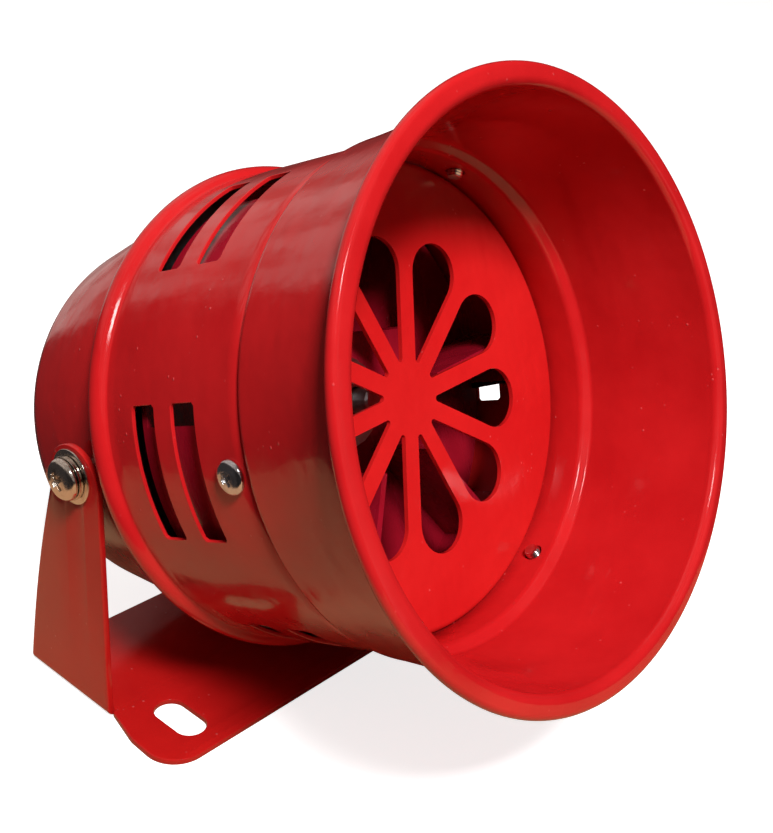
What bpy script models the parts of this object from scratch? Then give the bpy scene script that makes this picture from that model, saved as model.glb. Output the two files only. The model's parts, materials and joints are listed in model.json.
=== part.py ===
"""Alarm siren: a small motor-driven siren on a U bracket, as separate pieces at rest.

World frame: +Z up, the bracket's base plate flat on Z = 0, the horn facing -Y and tilted up.
The origin is on the base plate's underside, directly below the pivot axis, which runs along X.
Head pieces are modelled in the head's own frame: its origin is on the pivot axis, +Z points
out of the horn's mouth along the siren's axis, +X along the pivot axis and +Y up.
Sizes are in millimetres and the helpers turn them into Blender's metres.
"""

from math import atan2, cos, degrees, pi, radians, sin, sqrt

import bmesh
import bpy
from mathutils import Matrix, Vector

MM = 0.001

# Stance
HEAD_TILT = 22.0  # degrees the horn's mouth is raised above level
PIVOT_HEIGHT = 47.3

# Head: axial places are measured from the pivot axis, positive towards the mouth
MOUTH_RADIUS = 50.0
MOUTH_Z = 73.9
SHELL_WALL = 0.8
THROAT_RADIUS = 43.7  # mid-wall, where the horn meets the drum
SEAM_Z = MOUTH_Z - 26.3
NECK_RADIUS = 41.95  # mid-wall of the horn's neck, which slips inside the drum
NECK_END_Z = MOUTH_Z - 35.5
# The bell's wall between lip and shoulder: (radius beyond the throat's, depth behind the mouth)
BELL = ((2.3, 5.8), (1.4, 11.7), (0.6, 18.0), (0.1, 23.9))

DRUM_RADIUS = 43.3
DRUM_WALL = 0.7
DRUM_FRONT_Z = SEAM_Z - 0.4
BEAD_Z = MOUTH_Z - 62.8
BEAD_RADIUS = 1.75

SLOT_GROUPS = 6
SLOT_HALF_ANGLE = 14.9
SLOT_LENGTH = 5.7  # along the axis
SLOT_Z = (MOUTH_Z - 40.6, MOUTH_Z - 50.8)

GUARD_RADIUS = 41.3
GUARD_Z = MOUTH_Z - 33.5
GUARD_WALL = 0.9
GUARD_BEND = 1.2
GUARD_DEPTH = 3.0
PETALS = 10
PETAL_TURN = -15.0  # degrees from +X to the first petal
PETAL_INNER = 6.6
PETAL_OUTER = 28.6
PETAL_WEB = 3.3  # metal left between two petals

COVER_RADIUS = 42.3
COVER_DRAFT = 0.2  # radius lost for each unit of length
COVER_SHOULDER_Z = MOUTH_Z - 95.1
COVER_SHOULDER = 14.0
COVER_FLANGE = 43.5
COVER_WALL = 0.7
COVER_BACK_Z = MOUTH_Z - 106.1
GROMMET_Y = -13.0
GROMMET_WAIST = 3.6
GROMMET_BORE = 2.2

# Bracket
SHEET = 1.2
ARM_OUTER_X = 43.4
ARM_RADIUS = 6.8
ARM_TOP = 5.6  # above the pivot
ARM_FRONT_Y = -7.8
ARM_REAR_Y = 16.4
ARM_BOW = 0.9  # how far the arm's sloping rear edge bulges
BEND_RADIUS = 1.7
PLATE_HALF_WIDTH = 45.2
PLATE_FRONT_Y = -27.6
PLATE_REAR_Y = 16.4
PLATE_CORNER = 6.5
BASE_SLOT_X = 34.7
BASE_SLOT_Y = -17.6
BASE_SLOT_WIDTH = 6.0
BASE_SLOT_LENGTH = 11.6

# Fasteners
PIVOT_THREAD = 4.0
PIVOT_HEAD = 7.6
PIVOT_HEAD_HEIGHT = 1.8
PIVOT_SCREW_TIP = 33.6
PIVOT_NUT_X = 36.9
FLAT_WASHER = (10.0, 0.5)  # diameter, thickness
SPRING_WASHER = (8.0, 0.9)
DRUM_THREAD = 3.0
DRUM_HEAD = 5.5
DRUM_HEAD_HEIGHT = 1.8
DRUM_SCREW_Z = MOUTH_Z - 30.7
DRUM_SCREW_TIP = 40.4
DRUM_SCREW_ANGLES = (180.0, 60.0, -60.0)
FACE_GAP = 0.06  # between pieces that are clamped together

# Motor, along the axis from front to back
MOTOR_PLATE_Z = MOUTH_Z - 58.1
MOTOR_PLATE_RADIUS = 42.0
MOTOR_PLATE = 1.5
STACK_FRONT_Z = MOUTH_Z - 71.1
STACK_BACK_Z = MOUTH_Z - 87.1
STACK_RADIUS = 29.5
STACK_BORE = 15.7
POCKET = (11.0, 22.6, 9.2, 15.6)  # x and y limits of a coil pocket
COIL_X = 19.4
COIL_Y = 12.4
COIL_TUBE = 2.2
END_PLATE_Z = MOUTH_Z - 98.6
END_PLATE = 2.0
END_PLATE_RADIUS = 26.0
BOLT_Y = 21.5
BOLT_RADIUS = 1.95
BOLT_HOLE = 2.3
SPACER_RADIUS = 3.4
BRUSH_Z = MOUTH_Z - 95.3
BRUSH_SIZE = (10.0, 5.0, 4.0)  # length, then across and along the siren's axis
HOLDER_SIZE = (14.0, 8.0, 6.2)
HOLDER_START_X = 9.4
SPRING_TURNS = 4
SPRING_STEPS = 8
SPRING_RADIUS = 1.45
SPRING_TUBE = 0.22

# Rotating group
SHAFT_RADIUS = 3.0
SHAFT_FRONT_Z = MOUTH_Z - 41.9
SHAFT_BACK_Z = MOUTH_Z - 103.3
BEARING_RADIUS = 7.0
ARMATURE_RADIUS = 15.0
ARMATURE_SLOTS = 12
COMMUTATOR_RADIUS = 8.0
COMMUTATOR_BARS = 12
ROTOR_RADIUS = 41.1
ROTOR_FRONT_Z = MOUTH_Z - 37.4
ROTOR_BACK_Z = MOUTH_Z - 54.1
ROTOR_WALL = 1.2
ROTOR_VANES = 6
ROTOR_TURN = -26.0  # degrees from the slots, where the wheel happens to have stopped
VANE_INNER = 13.0

ROUND = 48  # facets around the shells
MIDDLE_ROUND = 32
SMALL_ROUND = 20
SCREW_ROUND = 16

SIDES = (("left", -1), ("right", 1))
LEVELS = (("upper", 1), ("lower", -1))


# Scene and materials


def clear_scene():
    for obj in list(bpy.data.objects):
        bpy.data.objects.remove(obj, do_unlink=True)


def add_collection(name):
    bpy.context.scene.collection.children.link(bpy.data.collections.new(name))


def principled(name, colour, roughness, metallic):
    material = bpy.data.materials.new(name)
    material.use_nodes = True
    shader = material.node_tree.nodes["Principled BSDF"]
    shader.inputs["Base Color"].default_value = (*colour, 1.0)
    shader.inputs["Roughness"].default_value = roughness
    shader.inputs["Metallic"].default_value = metallic
    return material


def link_part(name, mesh, material, parent=None):
    """One finished piece: its mesh in its parent's frame, with its own material."""
    mesh.materials.clear()
    mesh.materials.append(material)
    obj = bpy.data.objects.new(name, mesh)
    obj.parent = parent
    bpy.data.collections["alarm_siren"].objects.link(obj)
    return obj


def link_cutter(name, mesh):
    obj = bpy.data.objects.new(name, mesh)
    obj.hide_render = True
    obj.display_type = "WIRE"
    bpy.data.collections["cutters"].objects.link(obj)
    return obj


def add_frame(name, parent, location, rotation=(0.0, 0.0, 0.0)):
    empty = bpy.data.objects.new(name, None)
    empty.empty_display_size = 10 * MM
    empty.parent = parent
    empty.location = Vector(location) * MM
    empty.rotation_euler = rotation
    bpy.data.collections["alarm_siren"].objects.link(empty)
    return empty


# Shapes


def polar(radius, angle):
    return radius * cos(radians(angle)), radius * sin(radians(angle))


def arc(centre, radius, start, end, steps):
    """Points along an arc, angles in degrees, both ends included."""
    angles = [start + (end - start) * i / steps for i in range(steps + 1)]
    return [(centre[0] + polar(radius, a)[0], centre[1] + polar(radius, a)[1]) for a in angles]


def circle(radius, steps, centre=(0.0, 0.0)):
    return arc(centre, radius, 0.0, 360.0 * (steps - 1) / steps, steps - 1)


def stadium(width, length, centre):
    """A slot outline that runs along Y."""
    radius = width / 2
    straight = (length - width) / 2
    top = arc((centre[0], centre[1] + straight), radius, 0.0, 180.0, 8)
    bottom = arc((centre[0], centre[1] - straight), radius, 180.0, 360.0, 8)
    return top + bottom


def sheet_section(centre_line, wall):
    """The closed outline of a sheet that follows centre_line, listed from front to back."""
    outer = []
    inner = []
    last = len(centre_line) - 1
    for i, (r, z) in enumerate(centre_line):
        before = centre_line[max(i - 1, 0)]
        after = centre_line[min(i + 1, last)]
        into = Vector((r - before[0], z - before[1])) if i else None
        out = Vector((after[0] - r, after[1] - z)) if i < last else None
        normals = [Vector((-d.y, d.x)).normalized() for d in (into, out) if d]
        normal = sum(normals, Vector((0.0, 0.0))).normalized()
        offset = normal * (wall / 2) / max(normal.dot(normals[0]), 0.5)
        outer.append((r + offset.x, z + offset.y))
        inner.append((r - offset.x, z - offset.y))
    return outer + inner[::-1]


def baked(obj):
    """The evaluated mesh of a helper object, which is then removed."""
    bpy.context.view_layer.update()
    graph = bpy.context.evaluated_depsgraph_get()
    mesh = bpy.data.meshes.new_from_object(obj.evaluated_get(graph))
    mesh.transform(obj.matrix_world)
    bpy.data.objects.remove(obj, do_unlink=True)
    return mesh


def turned_mesh(profile, steps=ROUND, closed=True):
    """Spins (radius, z) points about Z: the outer side from front to back, then the inner side."""
    mesh = bpy.data.meshes.new("profile")
    points = [(r * MM, 0.0, z * MM) for r, z in profile]
    edges = [(i, i + 1) for i in range(len(points) - 1)]
    if closed:
        edges.append((len(points) - 1, 0))
    mesh.from_pydata(points, edges, [])
    obj = bpy.data.objects.new("turning", mesh)
    bpy.context.scene.collection.objects.link(obj)
    screw = obj.modifiers.new("Screw", "SCREW")
    screw.steps = steps
    screw.render_steps = steps
    screw.use_merge_vertices = True
    screw.merge_threshold = 0.00001
    return baked(obj)


def extruded_mesh(outlines, thickness, centre_z=0.0):
    """A flat plate in the XY plane: the first outline is its edge, any others its holes."""
    curve = bpy.data.curves.new("outline", "CURVE")
    curve.dimensions = "2D"
    curve.fill_mode = "BOTH"
    curve.extrude = thickness / 2 * MM
    for outline in outlines:
        spline = curve.splines.new("POLY")
        spline.points.add(len(outline) - 1)
        for point, (x, y) in zip(spline.points, outline):
            point.co = (x * MM, y * MM, 0.0, 1.0)
        spline.use_cyclic_u = True
    obj = bpy.data.objects.new("extrusion", curve)
    obj.location.z = centre_z * MM
    bpy.context.scene.collection.objects.link(obj)
    mesh = baked(obj)
    weld(mesh)
    return mesh


def weld(mesh):
    work = bmesh.new()
    work.from_mesh(mesh)
    bmesh.ops.remove_doubles(work, verts=work.verts, dist=0.00001)
    bmesh.ops.recalc_face_normals(work, faces=work.faces)
    work.to_mesh(mesh)
    work.free()


def box_mesh(size, centre, turn=None):
    work = bmesh.new()
    bmesh.ops.create_cube(work, size=1.0)
    place = Matrix.Translation(Vector(centre) * MM) @ Matrix.Diagonal((*(Vector(size) * MM), 1.0))
    work.transform(turn @ place if turn else place)
    mesh = bpy.data.meshes.new("box")
    work.to_mesh(mesh)
    work.free()
    return mesh


def joined_mesh(meshes):
    """Several separate meshes in one, as a cutter that makes many cuts at once."""
    work = bmesh.new()
    for mesh in meshes:
        work.from_mesh(mesh)
    joined = bpy.data.meshes.new("joined")
    work.to_mesh(joined)
    work.free()
    return joined


def tube_mesh(points, radius, cyclic=False, sides=2):
    """A round wire through the given points."""
    curve = bpy.data.curves.new("wire", "CURVE")
    curve.dimensions = "3D"
    curve.bevel_depth = radius * MM
    curve.bevel_resolution = sides
    curve.use_fill_caps = True
    spline = curve.splines.new("POLY")
    spline.points.add(len(points) - 1)
    for point, place in zip(spline.points, points):
        point.co = (*(Vector(place) * MM), 1.0)
    spline.use_cyclic_u = cyclic
    obj = bpy.data.objects.new("tube", curve)
    bpy.context.scene.collection.objects.link(obj)
    mesh = baked(obj)
    weld(mesh)
    return mesh


def combine(mesh, others, operation):
    """The mesh after a Boolean with each of the others."""
    obj = bpy.data.objects.new("base", mesh)
    bpy.context.scene.collection.objects.link(obj)
    helpers = []
    for other in others:
        helper = link_cutter("tool", other)
        helpers.append(helper)
        modifier = obj.modifiers.new("Boolean", "BOOLEAN")
        modifier.operation = operation
        modifier.object = helper
    result = baked(obj)
    for helper in helpers:
        bpy.data.objects.remove(helper, do_unlink=True)
    return result


def cut(obj, name, mesh):
    """Leaves a live Boolean on a shell, whose cutter stays in the cutters' collection."""
    cutter = link_cutter(name, mesh)
    cutter.parent = obj.parent
    modifier = obj.modifiers.new(name, "BOOLEAN")
    modifier.operation = "DIFFERENCE"
    modifier.object = cutter


def smooth(obj, angle=35.0):
    obj.data.shade_smooth()
    obj.data.set_sharp_from_angle(angle=radians(angle))


def rod_mesh(radius, back_z, front_z, steps=SMALL_ROUND):
    profile = [(0.0, front_z), (radius, front_z), (radius, back_z), (0.0, back_z)]
    return turned_mesh(profile, steps, closed=False)


def ring_mesh(outer, inner, back_z, front_z, steps=SMALL_ROUND):
    profile = [(outer, front_z), (outer, back_z), (inner, back_z), (inner, front_z)]
    return turned_mesh(profile, steps)


def radial(angle, depth_z):
    """A frame whose Z axis points outwards from the siren's axis at an angle and axial place."""
    out = Matrix.Rotation(radians(90.0), 4, "Y")
    around = Matrix.Rotation(radians(angle), 4, "Z")
    return Matrix.Translation((0.0, 0.0, depth_z * MM)) @ around @ out


def moved(mesh, matrix):
    copy = mesh.copy()
    copy.transform(matrix)
    return copy


# Housing


def screw_clearances():
    """Three round cutters that let the drum screws through the drum and the horn's neck."""
    hole = rod_mesh(DRUM_THREAD / 2 + 0.25, 38.0, 46.0)
    return joined_mesh([moved(hole, radial(angle, DRUM_SCREW_Z)) for angle in DRUM_SCREW_ANGLES])


def make_horn(head):
    """One drawn sheet: curled edge, flat lip, bell, shoulder and the neck that enters the drum."""
    curl = arc((MOUTH_RADIUS - 1.1, MOUTH_Z - 1.3), 0.7, -30.0, 90.0, 2)
    lip_bend = arc((MOUTH_RADIUS - 2.4, MOUTH_Z - 1.6), 1.2, 90.0, 175.0, 2)
    bell = [(THROAT_RADIUS + rise, MOUTH_Z - depth) for rise, depth in BELL]
    shoulder = arc((THROAT_RADIUS - 0.8, SEAM_Z + 1.2), 0.8, -10.0, -70.0, 2)
    neck = [(NECK_RADIUS, SEAM_Z + 0.1), (NECK_RADIUS, NECK_END_Z)]
    mesh = turned_mesh(sheet_section(curl + lip_bend + bell + shoulder + neck, SHELL_WALL))
    horn = link_part("horn", mesh, RED, head)
    cut(horn, "horn_screw_holes", screw_clearances())
    smooth(horn)


def petal_outline(angle):
    """A teardrop: a round lobe and a small round tip, whose straight sides leave an even web."""
    half_pitch = pi / PETALS
    spread = sin(half_pitch)
    lobe_centre = (PETAL_OUTER + PETAL_WEB / 2) / (1 + spread)
    tip_radius = (PETAL_INNER * spread - PETAL_WEB / 2) / (1 - spread)
    swing = 90.0 + degrees(half_pitch)
    lobe = arc((lobe_centre, 0.0), PETAL_OUTER - lobe_centre, -swing, swing, 9)
    tip = arc((PETAL_INNER + tip_radius, 0.0), tip_radius, swing, 360.0 - swing, 2)
    turn = Matrix.Rotation(radians(angle), 2)
    return [tuple(turn @ Vector(point)) for point in lobe + tip]


def make_guard(head):
    """The intake guard: a flat disc with ten petal openings and a rim turned to the rear."""
    face = GUARD_Z - GUARD_WALL / 2
    edge = GUARD_RADIUS - GUARD_WALL / 2
    bend = arc((edge - GUARD_BEND, face - GUARD_BEND), GUARD_BEND, 90.0, 0.0, 2)
    section = sheet_section([(1.0, face), *bend, (edge, GUARD_Z - GUARD_DEPTH)], GUARD_WALL)
    profile = [(0.0, GUARD_Z), *section[1:-1], (0.0, GUARD_Z - GUARD_WALL)]
    guard = link_part("intake_guard", turned_mesh(profile, closed=False), RED, head)
    turns = [PETAL_TURN + i * 360.0 / PETALS for i in range(PETALS)]
    petals = [extruded_mesh([petal_outline(turn)], 6.0, GUARD_Z) for turn in turns]
    cut(guard, "guard_petals", joined_mesh(petals))
    smooth(guard)


def make_drum(head):
    """The slotted drum, whose rear edge is beaded over the cover's flange."""
    middle = DRUM_RADIUS - DRUM_WALL / 2
    bead = arc((middle, BEAD_Z), BEAD_RADIUS, 90.0, -60.0, 5)
    mesh = turned_mesh(sheet_section([(middle, DRUM_FRONT_Z), *bead], DRUM_WALL))
    drum = link_part("slotted_drum", mesh, RED, head)
    width = 2 * DRUM_RADIUS * sin(radians(SLOT_HALF_ANGLE))
    openings = []
    for group in range(SLOT_GROUPS):
        turn = Matrix.Rotation(radians(group * 360.0 / SLOT_GROUPS), 4, "Z")
        for z in SLOT_Z:
            openings.append(box_mesh((10.0, width, SLOT_LENGTH), (DRUM_RADIUS, 0.0, z), turn))
    cut(drum, "drum_slots", joined_mesh(openings))
    cut(drum, "drum_screw_holes", screw_clearances())
    smooth(drum)


def make_cover(head):
    """The rear cover: a drawn cup with a drafted side, a round shoulder and a flat back."""
    side = COVER_RADIUS - COVER_WALL / 2
    draft = atan2(COVER_DRAFT, 1.0)
    start_z = BEAD_Z - 0.9
    end_r = side - COVER_DRAFT * (start_z - COVER_SHOULDER_Z)
    radius = COVER_SHOULDER - COVER_WALL / 2
    centre = (end_r - radius * cos(draft), COVER_SHOULDER_Z + radius * sin(draft))
    shoulder = arc(centre, radius, -degrees(draft), -90.0, 6)
    line = [(COVER_FLANGE, BEAD_Z), (side, BEAD_Z), (side, start_z), *shoulder, (1.0, COVER_BACK_Z)]
    section = sheet_section(line, COVER_WALL)
    outer = section[: len(line) - 1] + [(0.0, COVER_BACK_Z - COVER_WALL / 2)]
    inner = [(0.0, COVER_BACK_Z + COVER_WALL / 2)] + section[len(line) + 1 :]
    cover = link_part("rear_cover", turned_mesh(inner + outer, closed=False), RED, head)
    hole = rod_mesh(PIVOT_THREAD / 2 + 0.3, 34.0, 46.0)
    holes = [moved(hole, radial(angle, 0.0)) for angle in (0.0, 180.0)]
    outlet = rod_mesh(GROMMET_WAIST + 0.3, COVER_BACK_Z - 3.0, COVER_BACK_Z + 3.0)
    holes.append(moved(outlet, Matrix.Translation((0.0, GROMMET_Y * MM, 0.0))))
    cut(cover, "cover_holes", joined_mesh(holes))
    smooth(cover)


def make_grommet(head):
    """A rubber bush in the cover's back that the supply cable passes through."""
    front = COVER_BACK_Z + COVER_WALL / 2 + 0.3
    back = COVER_BACK_Z - COVER_WALL / 2 - 0.3
    lip = GROMMET_WAIST + 1.4
    profile = [
        (lip - 0.4, front + 0.9),
        (lip, front),
        (GROMMET_WAIST, front),
        (GROMMET_WAIST, back),
        (lip, back),
        (lip - 0.5, back - 1.3),
        (GROMMET_BORE, back - 1.3),
        (GROMMET_BORE, front + 0.9),
    ]
    grommet = link_part("cable_grommet", turned_mesh(profile, SMALL_ROUND), RUBBER, head)
    grommet.location.y = GROMMET_Y * MM
    smooth(grommet)


# Fasteners


def pan_screw_mesh(thread, head, height, reach):
    """A cross-recess pan-head screw along Z: the head's underside at 0, the tip at -reach."""
    crown = [
        (0.0, height),
        (head * 0.24, height * 0.96),
        (head * 0.42, height * 0.7),
        (head * 0.5, height * 0.22),
        (head * 0.5, 0.0),
    ]
    shank = [
        (thread / 2, 0.0),
        (thread / 2, 0.5 - reach),
        (thread / 2 - 0.5, -reach),
        (0.0, -reach),
    ]
    body = turned_mesh(crown + shank, SCREW_ROUND, closed=False)
    arm = (head * 0.52, head * 0.13, height * 1.2)
    turns = [Matrix.Rotation(radians(angle), 4, "Z") for angle in (0.0, 90.0)]
    recess = [box_mesh(arm, (0.0, 0.0, height), turn) for turn in turns]
    return combine(body, recess, "DIFFERENCE")


def split_ring_mesh(diameter, inner, thickness):
    """A spring washer: a flat ring with one narrow cut through it."""
    gap = 8.0
    outer = arc((0.0, 0.0), diameter / 2, gap, 360.0 - gap, SMALL_ROUND)
    hole = arc((0.0, 0.0), inner / 2, 360.0 - gap, gap, SMALL_ROUND)
    return extruded_mesh([outer + hole], thickness)


def hex_nut_mesh(across, bore, thickness):
    corners = circle(across / sqrt(3), 6)
    return extruded_mesh([corners, circle(bore / 2, SMALL_ROUND)], thickness)


def make_drum_screws(head):
    """Three screws that hold the drum to the horn's neck, their tips showing inside."""
    base = DRUM_RADIUS + FACE_GAP
    mesh = pan_screw_mesh(DRUM_THREAD, DRUM_HEAD, DRUM_HEAD_HEIGHT, base - DRUM_SCREW_TIP)
    mesh.transform(Matrix.Translation((0.0, 0.0, base * MM)))
    for number, angle in enumerate(DRUM_SCREW_ANGLES, 1):
        placed = moved(mesh, radial(angle, DRUM_SCREW_Z))
        smooth(link_part(f"drum_screw_{number}", placed, NICKEL, head))


def make_pivot_hardware(head):
    """On each side a screw, a spring washer and a flat washer, and a nut inside the cover."""
    flat_size, flat_thick = FLAT_WASHER
    spring_size, spring_thick = SPRING_WASHER
    flat_at = ARM_OUTER_X + FACE_GAP + flat_thick / 2
    spring_at = flat_at + flat_thick / 2 + FACE_GAP + spring_thick / 2
    head_at = spring_at + spring_thick / 2 + FACE_GAP
    bore = PIVOT_THREAD + 0.5
    pieces = {
        "pivot_screw": pan_screw_mesh(
            PIVOT_THREAD, PIVOT_HEAD, PIVOT_HEAD_HEIGHT, head_at - PIVOT_SCREW_TIP
        ),
        "spring_washer": split_ring_mesh(spring_size, bore, spring_thick),
        "flat_washer": ring_mesh(flat_size / 2, bore / 2, -flat_thick / 2, flat_thick / 2),
        "pivot_nut": hex_nut_mesh(7.0, bore, 3.0),
    }
    places = {
        "pivot_screw": head_at,
        "spring_washer": spring_at,
        "flat_washer": flat_at,
        "pivot_nut": PIVOT_NUT_X,
    }
    for side, sign in SIDES:
        turn = radial(0.0 if sign > 0 else 180.0, 0.0)
        for name, mesh in pieces.items():
            outwards = turn @ Matrix.Translation((0.0, 0.0, places[name] * MM))
            smooth(link_part(f"{name}_{side}", moved(mesh, outwards), NICKEL, head))


# Bracket


def arm_outline():
    """An arm seen from the side, as (forward, up) points: round at the pivot, wide at the foot."""
    foot = Vector((ARM_REAR_Y, -1.0))
    slope = atan2(ARM_REAR_Y - ARM_RADIUS, PIVOT_HEIGHT)
    centre = (0.0, PIVOT_HEIGHT + ARM_TOP - ARM_RADIUS)
    top = arc(centre, ARM_RADIUS, 180.0, -degrees(slope) * 1.3, 14)
    leave = top[-1]
    rear = []
    for i in range(1, 8):
        t = i / 8
        bulge = ARM_BOW * sin(pi * t)
        straight = Vector(leave).lerp(foot, t)
        rear.append((straight.x + bulge, straight.y))
    return [(ARM_FRONT_Y, -1.0), *top, *rear, foot]


def bent_strip_mesh():
    """The U of the bracket as one bent sheet, as deep as the arms' feet."""
    bend = BEND_RADIUS - SHEET / 2
    edge = ARM_OUTER_X - SHEET / 2
    top = PIVOT_HEIGHT + ARM_RADIUS + 2.0
    right = [(edge, top), *arc((edge - bend, SHEET / 2 + bend), bend, 0.0, -90.0, 5)]
    line = right + [(-x, z) for x, z in right[::-1]]
    depth = ARM_REAR_Y - ARM_FRONT_Y
    mesh = extruded_mesh([sheet_section(line, SHEET)], depth)
    stand = Matrix.Rotation(radians(90.0), 4, "X")
    middle = Matrix.Translation((0.0, (ARM_REAR_Y + ARM_FRONT_Y) / 2 * MM, 0.0))
    mesh.transform(middle @ stand)
    return mesh


def base_plate_mesh():
    """The flat foot: wide in front of the arms with round corners, narrower between their bends."""
    waist = ARM_OUTER_X - BEND_RADIUS
    front_y = PLATE_FRONT_Y + PLATE_CORNER
    corner = arc((PLATE_HALF_WIDTH - PLATE_CORNER, front_y), PLATE_CORNER, -90.0, 0.0, 7)
    flare = [
        (ARM_OUTER_X + 1.1, ARM_FRONT_Y - 7.5),
        (ARM_OUTER_X + 0.3, ARM_FRONT_Y - 3.5),
        (waist + 0.5, ARM_FRONT_Y),
    ]
    right = [*corner, *flare, (waist, ARM_FRONT_Y), (waist, PLATE_REAR_Y)]
    outline = right + [(-x, y) for x, y in right[::-1]]
    centres = [(sign * BASE_SLOT_X, BASE_SLOT_Y) for _, sign in SIDES]
    slots = [stadium(BASE_SLOT_WIDTH, BASE_SLOT_LENGTH, centre) for centre in centres]
    return extruded_mesh([outline, *slots], SHEET, SHEET / 2)


def make_bracket():
    """The U bracket: two tapering arms bent up from a base plate with a slot each side."""
    side_view = Matrix.Rotation(radians(90.0), 4, "Z") @ Matrix.Rotation(radians(90.0), 4, "X")
    outline = moved(extruded_mesh([arm_outline()], 120.0), side_view)
    strip = combine(bent_strip_mesh(), [outline], "INTERSECT")
    mesh = combine(strip, [base_plate_mesh()], "UNION")
    bracket = link_part("mounting_bracket", mesh, RED)
    hole = rod_mesh(PIVOT_THREAD / 2 + 0.3, -60.0, 60.0)
    at_pivot = Matrix.Translation((0.0, 0.0, PIVOT_HEIGHT * MM))
    sideways = Matrix.Rotation(radians(90.0), 4, "Y")
    cut(bracket, "pivot_holes", moved(hole, at_pivot @ sideways))
    smooth(bracket)


# Motor


def sleeve(radius):
    """The bore that gives a shaft of this radius its running clearance."""
    return radius + 0.08


def make_motor_plate(head):
    """The plate behind the siren wheel, with a boss for the front bearing."""
    front = MOTOR_PLATE_Z
    back = front - MOTOR_PLATE
    boss = BEARING_RADIUS + 2.2
    profile = [
        (MOTOR_PLATE_RADIUS, front),
        (MOTOR_PLATE_RADIUS, back),
        (boss, back),
        (boss, back - 6.0),
        (BEARING_RADIUS + 0.15, back - 6.0),
        (BEARING_RADIUS + 0.15, back - 0.6),
        (SHAFT_RADIUS + 1.2, back - 0.6),
        (SHAFT_RADIUS + 1.2, front),
    ]
    plate = link_part("motor_plate", turned_mesh(profile, MIDDLE_ROUND), ZINC, head)
    cut(plate, "motor_plate_holes", bolt_clearances(front - 4.0, front + 2.0))
    smooth(plate)


def bolt_clearances(back_z, front_z):
    """Two round cutters for the long motor bolts."""
    hole = rod_mesh(BOLT_HOLE, back_z, front_z)
    places = [Matrix.Translation((0.0, sign * BOLT_Y * MM, 0.0)) for _, sign in LEVELS]
    return joined_mesh([moved(hole, place) for place in places])


def make_bearings(head):
    """The two bushes the shaft turns in, one pressed into each plate."""
    back = MOTOR_PLATE_Z - MOTOR_PLATE
    bore = sleeve(SHAFT_RADIUS)
    front_bush = ring_mesh(BEARING_RADIUS, bore, back - 5.9, back - 0.9)
    rear_bush = ring_mesh(BEARING_RADIUS - 1.5, bore, END_PLATE_Z - 4.9, END_PLATE_Z - 0.3)
    smooth(link_part("front_bearing", front_bush, BRONZE, head))
    smooth(link_part("rear_bearing", rear_bush, BRONZE, head))


def make_end_plate(head):
    """The motor's rear plate, which carries the rear bearing and the brush holders."""
    front = END_PLATE_Z
    back = front - END_PLATE
    pocket = BEARING_RADIUS - 1.35
    profile = [
        (END_PLATE_RADIUS, front),
        (END_PLATE_RADIUS, back),
        (pocket + 1.5, back),
        (pocket + 1.5, front - 5.8),
        (1.5, front - 5.8),
        (1.5, front - 5.1),
        (pocket, front - 5.1),
        (pocket, front),
    ]
    plate = link_part("motor_end_plate", turned_mesh(profile, MIDDLE_ROUND), ZINC, head)
    cut(plate, "end_plate_holes", bolt_clearances(front - 5.0, front + 2.0))
    smooth(plate)


def make_field(head):
    """The laminated field stack and its two coils, wound on the left and right poles."""
    x0, x1, y0, y1 = POCKET
    depth = STACK_FRONT_Z - STACK_BACK_Z
    middle = (STACK_FRONT_Z + STACK_BACK_Z) / 2
    edge = circle(STACK_RADIUS, MIDDLE_ROUND)
    tunnel = circle(STACK_BORE, MIDDLE_ROUND)
    pockets = []
    for _, side in SIDES:
        for _, level in LEVELS:
            centre = (side * (x0 + x1) / 2, level * (y0 + y1) / 2, middle)
            pockets.append(box_mesh((x1 - x0, y1 - y0, depth + 4.0), centre))
    tools = [joined_mesh(pockets), bolt_clearances(STACK_BACK_Z - 2.0, STACK_FRONT_Z + 2.0)]
    stack = combine(extruded_mesh([edge, tunnel], depth, middle), tools, "DIFFERENCE")
    smooth(link_part("field_stack", stack, STEEL, head))
    reach = depth / 2 + COIL_TUBE + 0.3
    corner = 3.2
    loop = []
    for y, z, start in ((1, 1, 0.0), (-1, 1, 90.0), (-1, -1, 180.0), (1, -1, 270.0)):
        centre = (y * (COIL_Y - corner), middle + z * (reach - corner))
        loop += arc(centre, corner, start, start + 90.0, 4)
    for side, sign in SIDES:
        coil = tube_mesh([(sign * COIL_X, y, z) for y, z in loop], COIL_TUBE, cyclic=True)
        smooth(link_part(f"field_coil_{side}", coil, ENAMEL, head), 50.0)


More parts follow.
